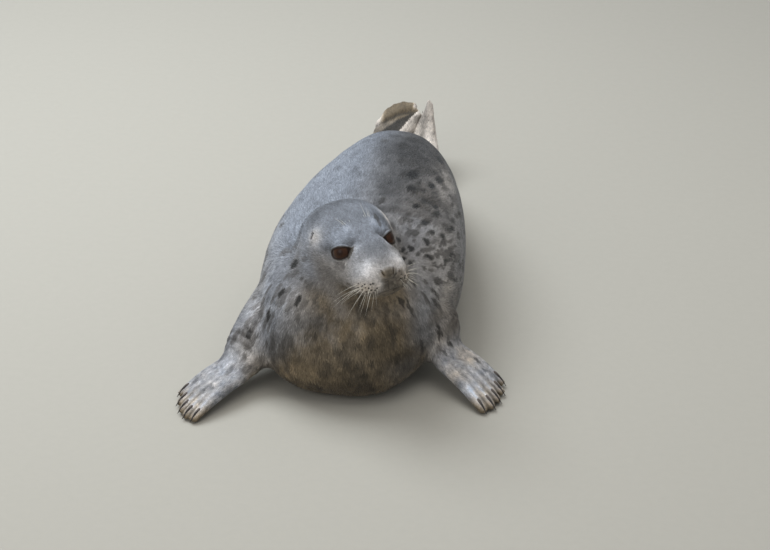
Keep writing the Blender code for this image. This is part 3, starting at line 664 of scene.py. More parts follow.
# Broad tones of the body: middle, reach, how bright it is there, how much warmer. They are partly the coat's
# own colour and partly painted light and shade.
TONES_AND_PAINTED_LIGHT = (
    # back and hindquarters; the darker left hindquarters are partly painted shade
    ((0.012, 0.020, 0.295), (0.044, 0.110, 0.050), 0.42, 0.05),
    ((0.038, -0.165, 0.300), (0.034, 0.090, 0.050), 0.46, 0.0),
    ((0.098, -0.150, 0.270), (0.026, 0.070, 0.040), 0.52, 0.10),
    ((0.060, 0.180, 0.240), (0.050, 0.080, 0.060), 0.66, 0.20),
    ((-0.055, 0.340, 0.215), (0.060, 0.060, 0.050), 0.72, 0.0),
    # left shoulder and flank; the darker, warmer low flank is painted shade
    ((0.092, -0.322, 0.262), (0.018, 0.030, 0.022), 0.66, 0.0),
    ((0.118, 0.010, 0.236), (0.034, 0.130, 0.040), 2.30, 0.10),
    ((0.142, -0.245, 0.226), (0.020, 0.045, 0.028), 1.50, 0.0),
    ((0.132, -0.300, 0.215), (0.042, 0.075, 0.044), 1.15, 0.16),
    ((0.160, -0.190, 0.200), (0.024, 0.080, 0.040), 1.60, 0.06),
    ((0.165, -0.300, 0.155), (0.025, 0.060, 0.030), 1.50, 0.20),
    ((0.184, -0.300, 0.105), (0.026, 0.120, 0.035), 0.62, 0.30),
    # right shoulder and right side of the neck; the brightening here is mostly painted light on the lit side
    ((-0.170, -0.330, 0.202), (0.034, 0.085, 0.040), 1.65, -0.05),
    ((-0.172, -0.405, 0.150), (0.026, 0.042, 0.036), 2.20, 0.10),
    ((-0.096, -0.402, 0.247), (0.014, 0.035, 0.030), 0.70, 0.15),
    ((-0.088, -0.465, 0.184), (0.036, 0.036, 0.032), 2.05, -0.05),
    # throat and front of the neck; the darkening just under the jaw is painted shade
    ((-0.014, -0.465, 0.204), (0.034, 0.030, 0.024), 0.42, 0.60),
    ((-0.040, -0.470, 0.205), (0.080, 0.050, 0.040), 1.00, 0.28),
    ((-0.056, -0.452, 0.215), (0.026, 0.030, 0.013), 0.55, 0.20),
    ((0.104, -0.424, 0.192), (0.024, 0.030, 0.022), 1.75, 0.0),
    # chest; the dark patch in the crease by the left fore flipper is painted shade
    ((-0.055, -0.490, 0.145), (0.026, 0.030, 0.018), 1.30, 0.05),
    ((0.020, -0.470, 0.166), (0.034, 0.034, 0.034), 1.40, 0.15),
    ((0.084, -0.472, 0.146), (0.026, 0.034, 0.030), 0.50, 0.30),
    ((-0.100, -0.490, 0.070), (0.085, 0.040, 0.018), 1.50, 0.10),
    ((-0.145, -0.470, 0.050), (0.045, 0.040, 0.030), 1.75, 0.25),
    ((0.000, -0.480, 0.046), (0.055, 0.050, 0.013), 0.76, 0.10),
    ((0.112, -0.455, 0.080), (0.030, 0.040, 0.034), 0.24, 0.50),
    # roots of the fore flippers; the dark patch at the front of the left one is painted shade
    ((0.136, -0.408, 0.066), (0.018, 0.030, 0.024), 0.24, 0.60),
    ((0.165, -0.366, 0.084), (0.020, 0.028, 0.024), 2.60, 0.15),
    ((0.160, -0.358, 0.136), (0.028, 0.034, 0.016), 0.55, 0.20),
    ((-0.185, -0.445, 0.088), (0.038, 0.040, 0.038), 1.28, 0.25),
)
# Tones on each side of the face, in the head's frame: middle, reach, how much brighter, how much warmer.
FACE_TONES = (
    ((0.072, 0.056, 0.010), (0.024, 0.022, 0.018), 0.34, 0.34),
    (BROW, (0.008, 0.009, 0.007), 0.17, 0.0),
    ((0.031, -0.034, 0.013), (0.010, 0.015, 0.013), 0.30, 0.0),
    ((0.042, -0.002, 0.022), (0.018, 0.022, 0.014), 0.15, -0.1),
    (MUZZLE_SIDE, (0.018, 0.026, 0.018), 0.54, 0.0),
    ((0.006, -0.060, 0.010), (0.022, 0.036, 0.016), -0.036, 0.0),
    ((0.018, -0.097, -0.040), (0.008, 0.014, 0.012), 0.26, 0.0),
    ((0.034, -0.056, -0.026), (0.020, 0.036, 0.020), 0.17, -0.05),
    (WHISKER_PAD, (0.022, 0.028, 0.013), 0.24, 0.30),
)
# Tones of the hands: middle, reach, how much brighter, how much warmer.
HAND_TONES = (
    ((0.217, -0.357, 0.055), 0.022, 0.17, 0.35),
    ((0.203, -0.412, 0.051), 0.018, 0.13, 0.30),
    ((0.218, -0.422, 0.044), 0.016, -0.10, 0.05),
    ((0.232, -0.445, 0.032), 0.020, 0.22, -0.2),
    ((-0.215, -0.470, 0.060), 0.030, 0.22, -0.1),
    ((-0.242, -0.533, 0.035), 0.020, -0.14, 0.05),
)


def paint_body(points, level, warm, clouds, blotch):
    """Dark back, bluish right side painted as a sky sheen, pale left shoulder, brownish chest and belly, with
    tones that add painted light and shade.
    """
    x, y, z = points.T
    # Painted sheen: the top of the right side is lighter and cooler, as under a bluish sky; the top of the
    # left side is a little warmer.
    back = rise(z, 0.17, 0.27)
    level += 0.055 * back * rise(-x, -0.03, 0.09) * (1 - rise(y, 0.30, 0.42))
    warm -= 0.28 * back * rise(-x, -0.05, 0.06)
    warm += 0.10 * back * rise(x, 0.03, 0.09)
    level *= 1 - 0.60 * patch(points, *SADDLE)
    level *= 1 - 0.50 * patch(points, *LOINS)
    distance, _ = from_segment(points, *PALE_LEFT_SHOULDER)
    pale = 1 - rise(distance, 0.030, 0.078)
    level = ease(level, 0.9 * pale, 0.285)
    warm = ease(warm, 0.9 * pale, 0.22)
    distance, _ = from_segment(points, *PALE_RIGHT_SHOULDER)
    pale = 1 - rise(distance, 0.030, 0.080)
    level = ease(level, 0.9 * pale, 0.250)
    warm = ease(warm, pale, 0.10)
    side = -0.075 - 0.45 * (0.15 - z)
    top = 0.150 + 0.45 * np.clip(x + 0.04, -0.06, 0.10)
    ragged = z + 0.016 * blotch + 0.020 * clouds
    chest = (1 - rise(y, -0.45, -0.37)) * (1 - rise(ragged, top - 0.032, top + 0.034))
    chest *= rise(x, side - 0.030, side + 0.020)
    chest *= 1 - rise(x - 0.030 * (1 - rise(z, 0.07, 0.13)), 0.100, 0.145)
    low = 1 - rise(z, 0.06, 0.13)
    level = ease(level, chest, 0.150 - 0.052 * low)
    warm = ease(warm, chest, 0.88 + 0.12 * low)
    # Painted shade under the head, over the throat's browner coat.
    level *= 1 - 0.35 * patch(points, *THROAT_SHADE)
    belly = (1 - rise(z, 0.012, 0.055)) * (1 - 0.4 * chest)
    level = ease(level, 0.8 * belly, 0.085)
    warm = ease(warm, belly, 1.0)
    # Each tone scales the grey level and shifts the warmth; many of them carry painted light and shade.
    for middle, reach, brightness, tint in TONES_AND_PAINTED_LIGHT:
        share = patch(points, middle, reach)
        level *= 1 + (brightness - 1) * share
        warm += tint * share
    return level, np.clip(warm, 0, 1), chest


def paint_head(local, is_head, level, warm):
    """Bluish crown as a painted sky sheen, pale lids, muzzle sides, brow tufts and ear patches, damp brown
    lips and chin darkened further by painted shade under the head, and painted shade behind the crown and
    over the left eye.
    """
    x, y, z = local.T
    # The crown's cool grey is a painted sky sheen.
    crown = is_head * rise(z, -0.015, 0.030)
    level = ease(level, crown, 0.180)
    warm = ease(warm, crown, 0.03)
    # Painted shade behind the crown, where the head rises over the neck.
    level *= 1 - 0.45 * is_head * rise(y, 0.055, 0.105) * rise(z, 0.0, 0.03)
    # Painted shade over the left eye.
    level *= 1 - 0.55 * is_head * patch(local, *LEFT_BROW_SHADE)
    cheek = is_head * (1 - rise(z, -0.030, 0.005)) * rise(y, -0.070, -0.030)
    cheek *= 1 - rise(np.abs(x), 0.070, 0.095)
    level = ease(level, 0.7 * cheek, 0.205)
    warm = ease(warm, 0.8 * cheek, 0.48)
    # The underside of the head: brown lips and chin, darkened further as painted shade.
    under = is_head * (1 - rise(z, -0.070, -0.050)) * (1 - rise(y, -0.02, 0.03))
    under *= 1 - rise(np.abs(x), 0.045, 0.070)
    level = ease(level, under, 0.125 + 0.085 * rise(x, -0.030, 0.005))
    warm = ease(warm, under, 0.90)
    level += 0.055 * is_head * patch(local, *NOSE_BRIDGE)
    for _, side in SIDES:
        for middle, reach, gain, tint in FACE_TONES:
            near = is_head * patch(local, mirror(middle, side), reach)
            level += gain * near
            warm += tint * near
    return level, warm


def paint_face_marks(points, local, is_head, pores, dark, level, rough, blotch):
    """Lid edges, nostrils, damp snout, lips, ear openings and the dots of the whisker pads."""
    bare = np.zeros(len(points))
    for _, side in SIDES:
        distance, past, angle = lid_places(local, side)
        near = (distance < 0.034) * is_head
        level += 0.36 * np.exp(-((past - 0.0072) / 0.0019) ** 2) * near * np.clip(0.25 - np.sin(angle), 0, 1)
        corner = np.abs(np.cos(angle)) ** 6
        rim = (1 - rise(past, 0.0030 + 0.0008 * corner, 0.0046 + 0.0012 * corner)) * near
        dark = np.maximum(dark, rim)
        bare = np.maximum(bare, rim)
        dark = np.maximum(dark, 0.18 * (1 - rise(past, 0.005, 0.011)) * near)
        nostril, _ = from_segment(local, mirror(NOSTRIL_TOP, side), mirror(NOSTRIL_LOW, side))
        dark = np.maximum(dark, 1.25 * np.exp(-(nostril / 0.0024) ** 2))
        pit = np.linalg.norm((local - mirror(EAR_OPENING, side)) / (0.02, 0.0026, 0.0066), axis=1)
        dark = np.maximum(dark, 1.15 * (1 - rise(pit, 0.6, 1.2)))
    ragged = local + 0.0035 * np.stack((rough, blotch, -rough), axis=1)
    x, y, z = ragged.T
    front = (is_head * (1 - rise(y, -0.094, -0.078)) * (1 - rise(z, -0.022, -0.012))
             * (1 - rise(np.abs(x), 0.013, 0.022)) * rise(x, -0.013, -0.004))
    lower = (is_head * (1 - rise(y, -0.088, -0.066)) * (1 - rise(z, -0.050, -0.038))
             * (1 - 0.85 * rise(-x, 0.006, 0.018)))
    left = (is_head * (1 - rise(y, -0.080, -0.055)) * (1 - rise(z, -0.030, -0.020))
            * rise(x, -0.004, 0.008) * (1 - 0.8 * rise(x, 0.026, 0.036)))
    snout = np.maximum(np.maximum(0.74 * front, 0.62 * lower), 0.80 * left)
    level = ease(level, 0.8 * snout, 0.262)
    dark = np.maximum(dark, snout * np.clip(0.72 + 0.60 * rough, 0, 1))
    pad = rise(patch(local, NOSE_PAD, (0.0150, 0.020, 0.0110)), 0.28, 0.60) * is_head
    bare = np.maximum(bare, pad)
    dark = np.maximum(dark, (0.70 + 0.25 * rough) * pad * (0.45 + 0.55 * rise(local[:, 0], -0.011, -0.003)))
    lips = np.exp(-(mouth_height(local) / 0.0026) ** 2) * (local[:, 1] < -0.040) * is_head
    dark = np.maximum(dark, 0.50 * lips)
    bare = np.maximum(bare, 0.45 * lips)
    for pore in pores:
        near = np.where(np.sum((points - pore) ** 2, axis=1) < 0.0030 ** 2)[0]
        far = np.linalg.norm(points[near] - pore, axis=1)
        dark[near] = np.maximum(dark[near], 1.15 * (1 - rise(far, 0.0010, 0.0024)))
    return dark, bare, level, snout


def paint_hands(points, level, warm, dark, blotch, fine):
    """Whitish hands with cream and brown clouds and dark lines between the digits."""
    z = points[:, 2]
    hand = out_on_hand(points, -0.010, 0.040) * (1 - rise(z, 0.08, 0.11))
    level = ease(level, hand, 0.365 * np.clip(1 + 0.45 * blotch + 0.45 * fine, 0.4, 1.6))
    warm = ease(warm, hand, np.clip(0.22 + 0.14 * blotch, 0, 1))
    stripe, between, out = digit_stripes(points)
    level += 0.14 * stripe + 0.12 * out
    dark = np.maximum(dark, between * (0.10 + 0.50 * out))
    warm = np.clip(warm + 0.40 * out * (1 - stripe), 0, 1)
    sole = hand * (1 - rise(z, 0.008, 0.022))
    level = ease(level, sole, 0.150)
    warm = ease(warm, sole, 0.95)
    for middle, reach, gain, tint in HAND_TONES:
        spot = patch(points, middle, (reach, reach, reach))
        level += gain * spot
        warm += tint * spot
    bar = patch(points, *WRIST_BAR) * rise(blotch, -0.2, 0.2)
    return level, warm, np.maximum(dark, 0.50 * bar)


def paint_hind_flippers(points, level, warm, dark):
    """One pale tan blade and one brown one, with light rims, painted shade along a crease and a painted
    shadow in the gap under the curled blade.
    """
    along = hind_places(points)
    hind = rise(along, 0.05, 0.25)
    x = points[:, 0]
    border = -0.068 + 0.085 * (along - 0.65)
    left = hind * rise(x, border - 0.002, border + 0.002)
    right = hind - left
    level = ease(level, left, 0.420 - 0.18 * np.exp(-((x + 0.028) / 0.006) ** 2))
    warm = ease(warm, left, 0.52)
    level = ease(level, right, 0.125)
    warm = ease(warm, right, 1.0)
    edge = right * rise(-x, 0.118, 0.138) + left * rise(x, -0.021, -0.013)
    edge += left * (1 - rise(x, border + 0.004, border + 0.008))
    edge += right * rise(x, -0.060, -0.054) * rise(along, 0.90, 0.98)
    level = ease(level, edge, 0.58)
    warm = ease(warm, edge, 0.50)
    # Painted shade along the crease of the curled blade.
    fold = blade_fold(along, x, 0.76) * right
    dark = np.maximum(dark, 0.75 * fold)
    lower = right * (1 - rise(along, 0.68, 0.78))
    level = ease(level, lower, 0.160)
    warm = ease(warm, lower, 0.70)
    # Painted shadow in the gap under the curled blade.
    wedge = -0.094 + 0.24 * (along - 0.70)
    shadow_under_curl = right * rise(x, wedge - 0.004, wedge + 0.004) * (1 - rise(along, 0.86, 0.94))
    dark = np.maximum(dark, 0.92 * shadow_under_curl)
    return level, warm, dark


def paint(points, spots, pores):
    """Grey level, warmth, darkness, bareness and unevenness of the coat at each point."""
    local = to_head(points)
    clouds = wander(points, 0.030)[:, 0]
    blotch = wander(points, 0.012)[:, 0]
    rough = wander(points, 0.0050)
    fine = rough[:, 0]
    is_head = (1 - rise(local[:, 1], 0.09, 0.15)) * rise(points[:, 2], HEAD_FLOOR, 0.20)
    level = np.full(len(points), COAT_LEVEL)
    warm = np.full(len(points), COAT_WARMTH)
    level, warm, chest = paint_body(points, level, warm, clouds, blotch)
    level, warm = paint_head(local, is_head, level, warm)
    calm = np.clip(is_head + 0.7 * rise(-points[:, 0], 0.0, 0.08) * rise(points[:, 2], 0.17, 0.25), 0, 1)
    mottle = 1 - 0.50 * calm
    uneven = 0.24 * mottle + 0.16 * chest
    level *= 1 + uneven * clouds + uneven * blotch + 0.18 * fine
    # Painted shade in the fold of the neck behind the head.
    past_fold = local[:, 1] - 0.128 - 0.15 * (local[:, 2] + 0.03)
    neck_fold_shade = np.exp(-(past_fold / 0.007) ** 2) * rise(local[:, 2], -0.06, 0.0)
    level *= 1 - 0.34 * neck_fold_shade * (points[:, 2] > HEAD_FLOOR)
    dark = spot_darkness(points + 0.0018 * rough + 0.0045 * blotch[:, None], spots)
    # Painted shade in the crease by the left fore flipper.
    dark = np.maximum(dark, 0.62 * patch(points, *ARM_CREASE_SHADE) * (1 + 0.5 * blotch))
    warm = ease(warm, 0.5 * np.clip(dark, 0, 1), 0.60)
    dark, bare, level, snout = paint_face_marks(points, local, is_head, pores, dark, level, fine, blotch)
    warm = ease(warm, np.maximum(0.9 * snout, bare), 0.74 + 0.04 * bare)
    level, warm, dark = paint_hands(points, level, warm, dark, blotch, fine)
    level, warm, dark = paint_hind_flippers(points, level, warm, dark)
    return np.stack((np.clip(level, 0.02, 0.8), np.clip(warm, 0, 1), np.clip(dark, 0, 1.2),
                     np.clip(bare, 0, 1), mottle), axis=1)


# ---------------------------------------------------------------------------------------------
# Lie of the coat
# ---------------------------------------------------------------------------------------------
def coat_lie(points, normals, region, edges):
    """Unit directions along the skin: back from the nose, along the body, out along the limbs."""
    local = to_head(points)
    away = unit(local - np.array((0.0, -0.115, -0.030)))
    away[:, 1] += 0.35
    lie = np.tile((0.0, 1.0, -0.10), (len(points), 1))
    lie[:, 0] += 0.10 * np.sign(points[:, 0]) * rise(points[:, 2], 0.05, 0.25)
    lie[:, 2] -= 0.35 * rise(np.abs(points[:, 0]), 0.06, 0.17)
    is_head = np.isin(region, [FLESH.index(n) for n in ("head", "muzzle", "lower_jaw", "nose")])
    lie[is_head] = unit(away)[is_head] @ HEAD_AXES.T
    is_neck = region == FLESH.index("neck")
    lie[is_neck] = (unit(unit(away) + (0, 0.8, -0.25)) @ HEAD_AXES.T + (0, 0.6, -0.2))[is_neck]
    lie = unit(lie)
    under = rise(-local[:, 2], 0.045, 0.075) * is_head
    lie = lie * (1 - under)[:, None] + under[:, None] * (HEAD_AXES @ (0.0, 0.35, -0.9))
    front = rise(-normals[:, 1], 0.05, 0.45) * (points[:, 1] < -0.25) * ~is_head
    front *= 1 - rise(points[:, 2], 0.20, 0.26)
    lie = lie * (1 - front)[:, None] + front[:, None] * np.array((0.0, 0.10, -1.0))
    for side, limb in FORE_LIMBS.items():
        lie[region == FLESH.index("fore_flipper_" + side)] = np.array(limb["heading"]) + (0, 0, -0.25)
        lie[region == FLESH.index("hind_flipper_" + side)] = (0, 1.0, 0.35)
    lie = unit(lie)
    for _ in range(LIE_ROUNDS):
        lie = 0.35 * lie + 0.65 * neighbour_mean(lie, edges)
        lie = unit(lie - normals * np.sum(lie * normals, axis=1)[:, None])
    return lie


# ---------------------------------------------------------------------------------------------
# Shader expressions
# ---------------------------------------------------------------------------------------------
class Value:
    """A number socket of a material, so that shader maths reads as an expression."""

    def __init__(self, finish, socket):
        self.finish = finish
        self.socket = socket

    def __add__(self, other):
        return self.finish.maths("ADD", self, other)

    def __sub__(self, other):
        return self.finish.maths("SUBTRACT", self, other)

    def __rsub__(self, other):
        return self.finish.maths("SUBTRACT", other, self)

    def __mul__(self, other):
        return self.finish.maths("MULTIPLY", self, other)

    __radd__ = __add__
    __rmul__ = __mul__


class Finish:
    """One procedural material under construction."""

    def __init__(self, name):
        self.material = bpy.data.materials.new(name)
        self.material.use_nodes = True
        self.tree = self.material.node_tree
        self.tree.nodes.clear()
        self.shader = self.node("ShaderNodeBsdfPrincipled", {}, {})
        output = self.node("ShaderNodeOutputMaterial", {}, {})
        self.tree.links.new(self.shader.outputs[0], output.inputs["Surface"])

    def node(self, kind, settings, sockets):
        node = self.tree.nodes.new(kind)
        for key, setting in settings.items():
            if key == "stops":
                self.set_stops(node.color_ramp, setting)
            else:
                setattr(node, key, setting)
        for key, value in sockets.items():
            self.put(node.inputs[key], value)
        return node

    def put(self, socket, value):
        if isinstance(value, Value):
            self.tree.links.new(value.socket, socket)
        elif isinstance(value, bpy.types.NodeSocket):
            self.tree.links.new(value, socket)
        else:
            socket.default_value = value

    def set_stops(self, ramp, stops):
        while len(ramp.elements) < len(stops):
            ramp.elements.new(1.0)
        for element, (place, colour) in zip(ramp.elements, stops):
            element.position = place
            element.color = (*colour, 1.0)

    def maths(self, operation, *terms):
        node = self.node("ShaderNodeMath", {"operation": operation}, dict(enumerate(terms)))
        return Value(self, node.outputs[0])

    def step(self, value, low, high):
        """A smooth step from 0 to 1."""
        node = self.node("ShaderNodeMapRange", {"interpolation_type": "SMOOTHSTEP"},
                         {"Value": value, "From Min": low, "From Max": high})
        return Value(self, node.outputs["Result"])

    def attribute(self, name):
        return self.node("ShaderNodeAttribute", {"attribute_name": name}, {})

    def number(self, name):
        return Value(self, self.attribute(name).outputs["Fac"])

    def vector_maths(self, operation, *terms):
        node = self.node("ShaderNodeVectorMath", {"operation": operation}, dict(enumerate(terms)))
        return node.outputs["Vector"]

    def scaled(self, vector, value):
        node = self.node("ShaderNodeVectorMath", {"operation": "SCALE"}, {0: vector, "Scale": value})
        return node.outputs["Vector"]

    def blend(self, factor, first, second):
        node = self.node("ShaderNodeMix", {"data_type": "VECTOR"}, {0: factor, 4: first, 5: second})
        return node.outputs[1]

    def grain(self, vector, scale, detail=3.0, roughness=0.55):
        node = self.node("ShaderNodeTexNoise", {},
                         {"Vector": vector, "Scale": scale, "Detail": detail, "Roughness": roughness})
        return Value(self, node.outputs["Fac"])

    def bump(self, height, distance, strength):
        node = self.node("ShaderNodeBump", {}, {"Height": height, "Distance": distance, "Strength": strength})
        return node.outputs["Normal"]

    def done(self, **sockets):
        for key, value in sockets.items():
            self.put(self.shader.inputs[key.replace("_", " ")], value)
        return self.material


COOL_GREY = (0.90, 0.98, 1.13)
WARM_GREY = (1.31, 1.00, 0.62)


def coat_finish(name, bumpy):
    """Short hair: a grey level tinted cool or warm, broken up by clouds, ticking and dark marks."""
    finish = Finish(name)
    root = finish.attribute("root").outputs["Vector"]
    along = finish.vector_maths("MULTIPLY", root, (1.0, 0.45, 1.0))
    clouds = finish.grain(along, 11.0, 4.0)
    blotches = finish.grain(along, 42.0, 4.0, 0.6)
    ticking = finish.grain(along, 210.0, 2.0, 0.6)
    level = finish.number("level")
    dark = finish.number("dark")
    bare = finish.number("bare")
    shade = finish.number("shade")
    tip = finish.number("tip")
    mottle = finish.number("mottle")
    marks = finish.step(blotches, 0.52, 0.64) * 0.36 * mottle * (1 - bare)
    level = level * (1 + (clouds - 0.5) * 0.64 * mottle) * (1 - marks) * (0.50 + 1.00 * ticking)
    level = level * (1 - 0.90 * dark) * (1 + 0.36 * shade * (1 - bare)) * (0.86 + 0.28 * tip)
    tint = finish.blend(finish.number("warm"), COOL_GREY, WARM_GREY)
    colour = finish.scaled(tint, level)
    normal = {}
    if bumpy:
        height = finish.grain(root, 620.0, 3.0) + 0.5 * finish.grain(along, 1500.0, 2.0)
        normal = {"Normal": finish.bump(height, 0.0006, 0.5)}
    return finish.done(Base_Color=colour, Roughness=0.62 - 0.22 * bare, Sheen_Weight=0.10,
                       Sheen_Roughness=0.45, Sheen_Tint=(0.86, 0.92, 1.0, 1.0),
                       Specular_IOR_Level=0.35, **normal)


def eye_finish():
    """Black pupil in a dark brown iris, under a wet cornea."""
    finish = Finish("wet eye")
    turn = finish.number("turn")
    stops = ((0.0, (0.024, 0.011, 0.007)), (0.30, (0.028, 0.013, 0.008)), (0.42, (0.044, 0.019, 0.010)),
             (0.80, (0.050, 0.022, 0.011)), (0.93, (0.014, 0.008, 0.006)), (1.0, (0.024, 0.016, 0.012)))
    ramp = finish.node("ShaderNodeValToRGB", {"stops": stops}, {"Fac": turn})
    place = finish.node("ShaderNodeTexCoord", {}, {}).outputs["Object"]
    fibres = finish.grain(place, 700.0, 3.0)
    colour = finish.scaled(ramp.outputs["Color"], 0.7 + 0.6 * fibres)
    return finish.done(Base_Color=colour, Roughness=0.30, Specular_IOR_Level=0.10, Coat_Weight=0.22,
                       Coat_Roughness=0.03, Coat_IOR=1.34)


def lid_finish():
    """Damp, nearly black skin."""
    finish = Finish("dark lid")
    place = finish.node("ShaderNodeTexCoord", {}, {}).outputs["Object"]
    grain = finish.grain(place, 900.0, 3.0)
    colour = finish.scaled((0.026, 0.014, 0.010), 0.7 + 0.6 * grain)
    return finish.done(Base_Color=colour, Roughness=0.42, Specular_IOR_Level=0.15,
                       Normal=finish.bump(grain, 0.0003, 0.4))


def claw_finish():
    """Dark horn with fine lengthwise streaks, paler where it leaves the digit."""
    finish = Finish("claw horn")
    along = finish.number("along")
    place = finish.node("ShaderNodeTexCoord", {}, {}).outputs["Object"]
    streaks = finish.grain(place, 420.0, 3.0)
    colour = finish.blend(finish.step(along, 0.0, 0.55), (0.110, 0.085, 0.070), (0.028, 0.022, 0.019))
    colour = finish.scaled(colour, 0.6 + 0.8 * streaks)
    return finish.done(Base_Color=colour, Roughness=0.30 + 0.15 * streaks,
                       Normal=finish.bump(streaks, 0.0003, 0.5))


def whisker_finish():
    """Stiff pale hair, darker at its root."""
    finish = Finish("whisker")
    along = finish.number("along")
    place = finish.node("ShaderNodeTexCoord", {}, {}).outputs["Object"]
    grain = finish.grain(place, 260.0, 2.0)
    colour = finish.blend(finish.step(along, 0.0, 0.25), (0.24, 0.20, 0.16), (0.66, 0.62, 0.53))
    return finish.done(Base_Color=finish.scaled(colour, 0.85 + 0.3 * grain), Roughness=0.32)


def floor_finish():
    finish = Finish("studio floor")
    place = finish.node("ShaderNodeTexCoord", {}, {}).outputs["Object"]
    grain = finish.grain(place, 60.0, 4.0)
    colour = finish.scaled((0.397, 0.376, 0.327), 0.97 + 0.06 * grain)
    return finish.done(Base_Color=colour, Roughness=0.85)


# ---------------------------------------------------------------------------------------------
# Coat
# ---------------------------------------------------------------------------------------------
def add_numbers(mesh, name, values):
    values = np.asarray(values, np.float32)
    kind = "FLOAT" if values.ndim == 1 else "FLOAT_VECTOR"
    layer = mesh.attributes.new(name, kind, "POINT")
    layer.data.foreach_set("value" if values.ndim == 1 else "vector", values.ravel())


def put_paint(mesh, roots, colours, shade, tip):
    add_numbers(mesh, "root", roots)
    for column, name in enumerate(("level", "warm", "dark", "bare", "mottle")):
        add_numbers(mesh, name, colours[:, column])
    add_numbers(mesh, "shade", shade)
    add_numbers(mesh, "tip", tip)


def unwrap(obj):
    """An unwrap of the skin's own shape."""
    obj.data.uv_layers.new(name="OFBake")
    bpy.ops.object.select_all(action="DESELECT")
    bpy.context.view_layer.objects.active = obj
    obj.select_set(True)
    bpy.ops.object.mode_set(mode="EDIT")
    bpy.ops.mesh.select_all(action="SELECT")
    bpy.ops.uv.smart_project(angle_limit=math.radians(66), island_margin=0.002)
    bpy.ops.object.mode_set(mode="OBJECT")


def tuft_sizes(points, region, bare):
    """Length and half width of the tufts, and how thickly they stand, at each vertex of the skin."""
    local = to_head(points)
    size = np.tile(BODY_TUFT, (len(points), 1))
    head = (1 - rise(local[:, 1], 0.05, 0.16)) * rise(points[:, 2], 0.16, 0.20)
    size += (HEAD_TUFT - size) * head[:, None]
    face = (1 - rise(local[:, 1], -0.085, 0.010)) * rise(points[:, 2], HEAD_FLOOR, 0.20)
    size += (FACE_TUFT - size) * face[:, None]
    for _, side in SIDES:
        distance, past, _ = lid_places(local, side)
        lid = (1 - rise(past, 0.006, 0.018)) * (distance < 0.045)
        size += (LID_TUFT - size) * lid[:, None]
    limb = np.isin(region, [FLESH.index(name) for name in FLESH if "flipper" in name or name == "tail"])
    size[limb] = HAND_TUFT
    size[limb & near_digits(points) & (points[:, 2] < 0.035)] = DIGIT_TUFT
    density = 1.0 / (size[:, 0] * size[:, 1])
    density *= (bare < 0.5) * (points[:, 2] > BARE_BELOW)
    density *= np.where(points[:, 2] < THIN_BELOW, 0.5, 1.0)
    return size, density


def sow_tufts(skin, lie, region, colours, count):
    """Roots spread over the skin, with everything a tuft takes from its place."""
    mesh = skin.data
    mesh.calc_loop_triangles()
    corners = read_values(mesh.loop_triangles, "vertices", 3, np.int32)
    loops = read_values(mesh.loop_triangles, "loops", 3, np.int32)
    uv = read_values(mesh.uv_layers["OFBake"].data, "uv", 2)
    points = coordinates(mesh)
    normals = normals_of(mesh)
    size, density = tuft_sizes(points, region, colours[:, 3])
    a, b, c = (points[corners[:, k]] for k in range(3))
    area = np.linalg.norm(np.cross(b - a, c - a), axis=1) / 2
    share = np.cumsum(area * density[corners].mean(axis=1))
    ticks = (np.arange(count) + rng.random(count)) / count * share[-1]
    picked = np.searchsorted(share, ticks)
    u, v = rng.random((2, count))
    flip = u + v > 1
    u[flip], v[flip] = 1 - u[flip], 1 - v[flip]
    weights = np.stack((1 - u - v, u, v), axis=1)

    def read(values):
        return np.einsum("ij,ijk->ik", weights, values[corners[picked]])

    sizes = read(size)
    normal = unit(read(normals))
    along = read(lie)
    along = unit(along - normal * np.sum(along * normal, axis=1)[:, None])
    patch_uv = np.einsum("ij,ijk->ik", weights, uv[loops[picked]])
    nearest = corners[picked, np.argmax(weights, axis=1)]
    return dict(root=read(points), normal=normal, along=along, length=sizes[:, 0], half=sizes[:, 1],
                uv=patch_uv, region=region[nearest])


def comb(tufts):
    """Turn each tuft a little, together with its neighbours and by itself."""
    count = len(tufts["root"])
    sway = np.array([noise.noise(Vector(root) * 38.0) for root in tufts["root"]])
    turn = 0.24 * sway + rng.normal(0.0, 0.16, count)
    side = np.cross(tufts["normal"], tufts["along"])
    tufts["along"] = tufts["along"] * np.cos(turn)[:, None] + side * np.sin(turn)[:, None]
    tufts["side"] = np.cross(tufts["normal"], tufts["along"])
    tufts["length"] = tufts["length"] * rng.uniform(0.75, 1.25, count)
    tufts["half"] = tufts["half"] * rng.uniform(0.75, 1.25, count)


def lay_on(tree, points):
    """The nearest places on the skin, and its normals there."""
    hits = [tree.find_nearest(Vector(point)) for point in points]
    return np.array([hit[0] for hit in hits]), np.array([hit[1] for hit in hits])


TUFT_FACES = ((0, 1, 2), (4, 2, 1), (0, 2, 3), (0, 3, 1), (4, 3, 2), (4, 1, 3))
TUFT_PATCH = ((0.0, -0.5), (-0.5, 0.0), (0.5, 0.0), (0.0, 0.1), (0.0, 0.5))
TUFT_TIP = (0.0, 0.45, 0.45, 0.55, 1.0)    # from the root, 0, to the point, 1
TUFT_VERTS = len(TUFT_TIP)
TUFT_SINK = 0.0006             # how deep a tuft is rooted below the skin
FLOOR_GAP = 0.0003


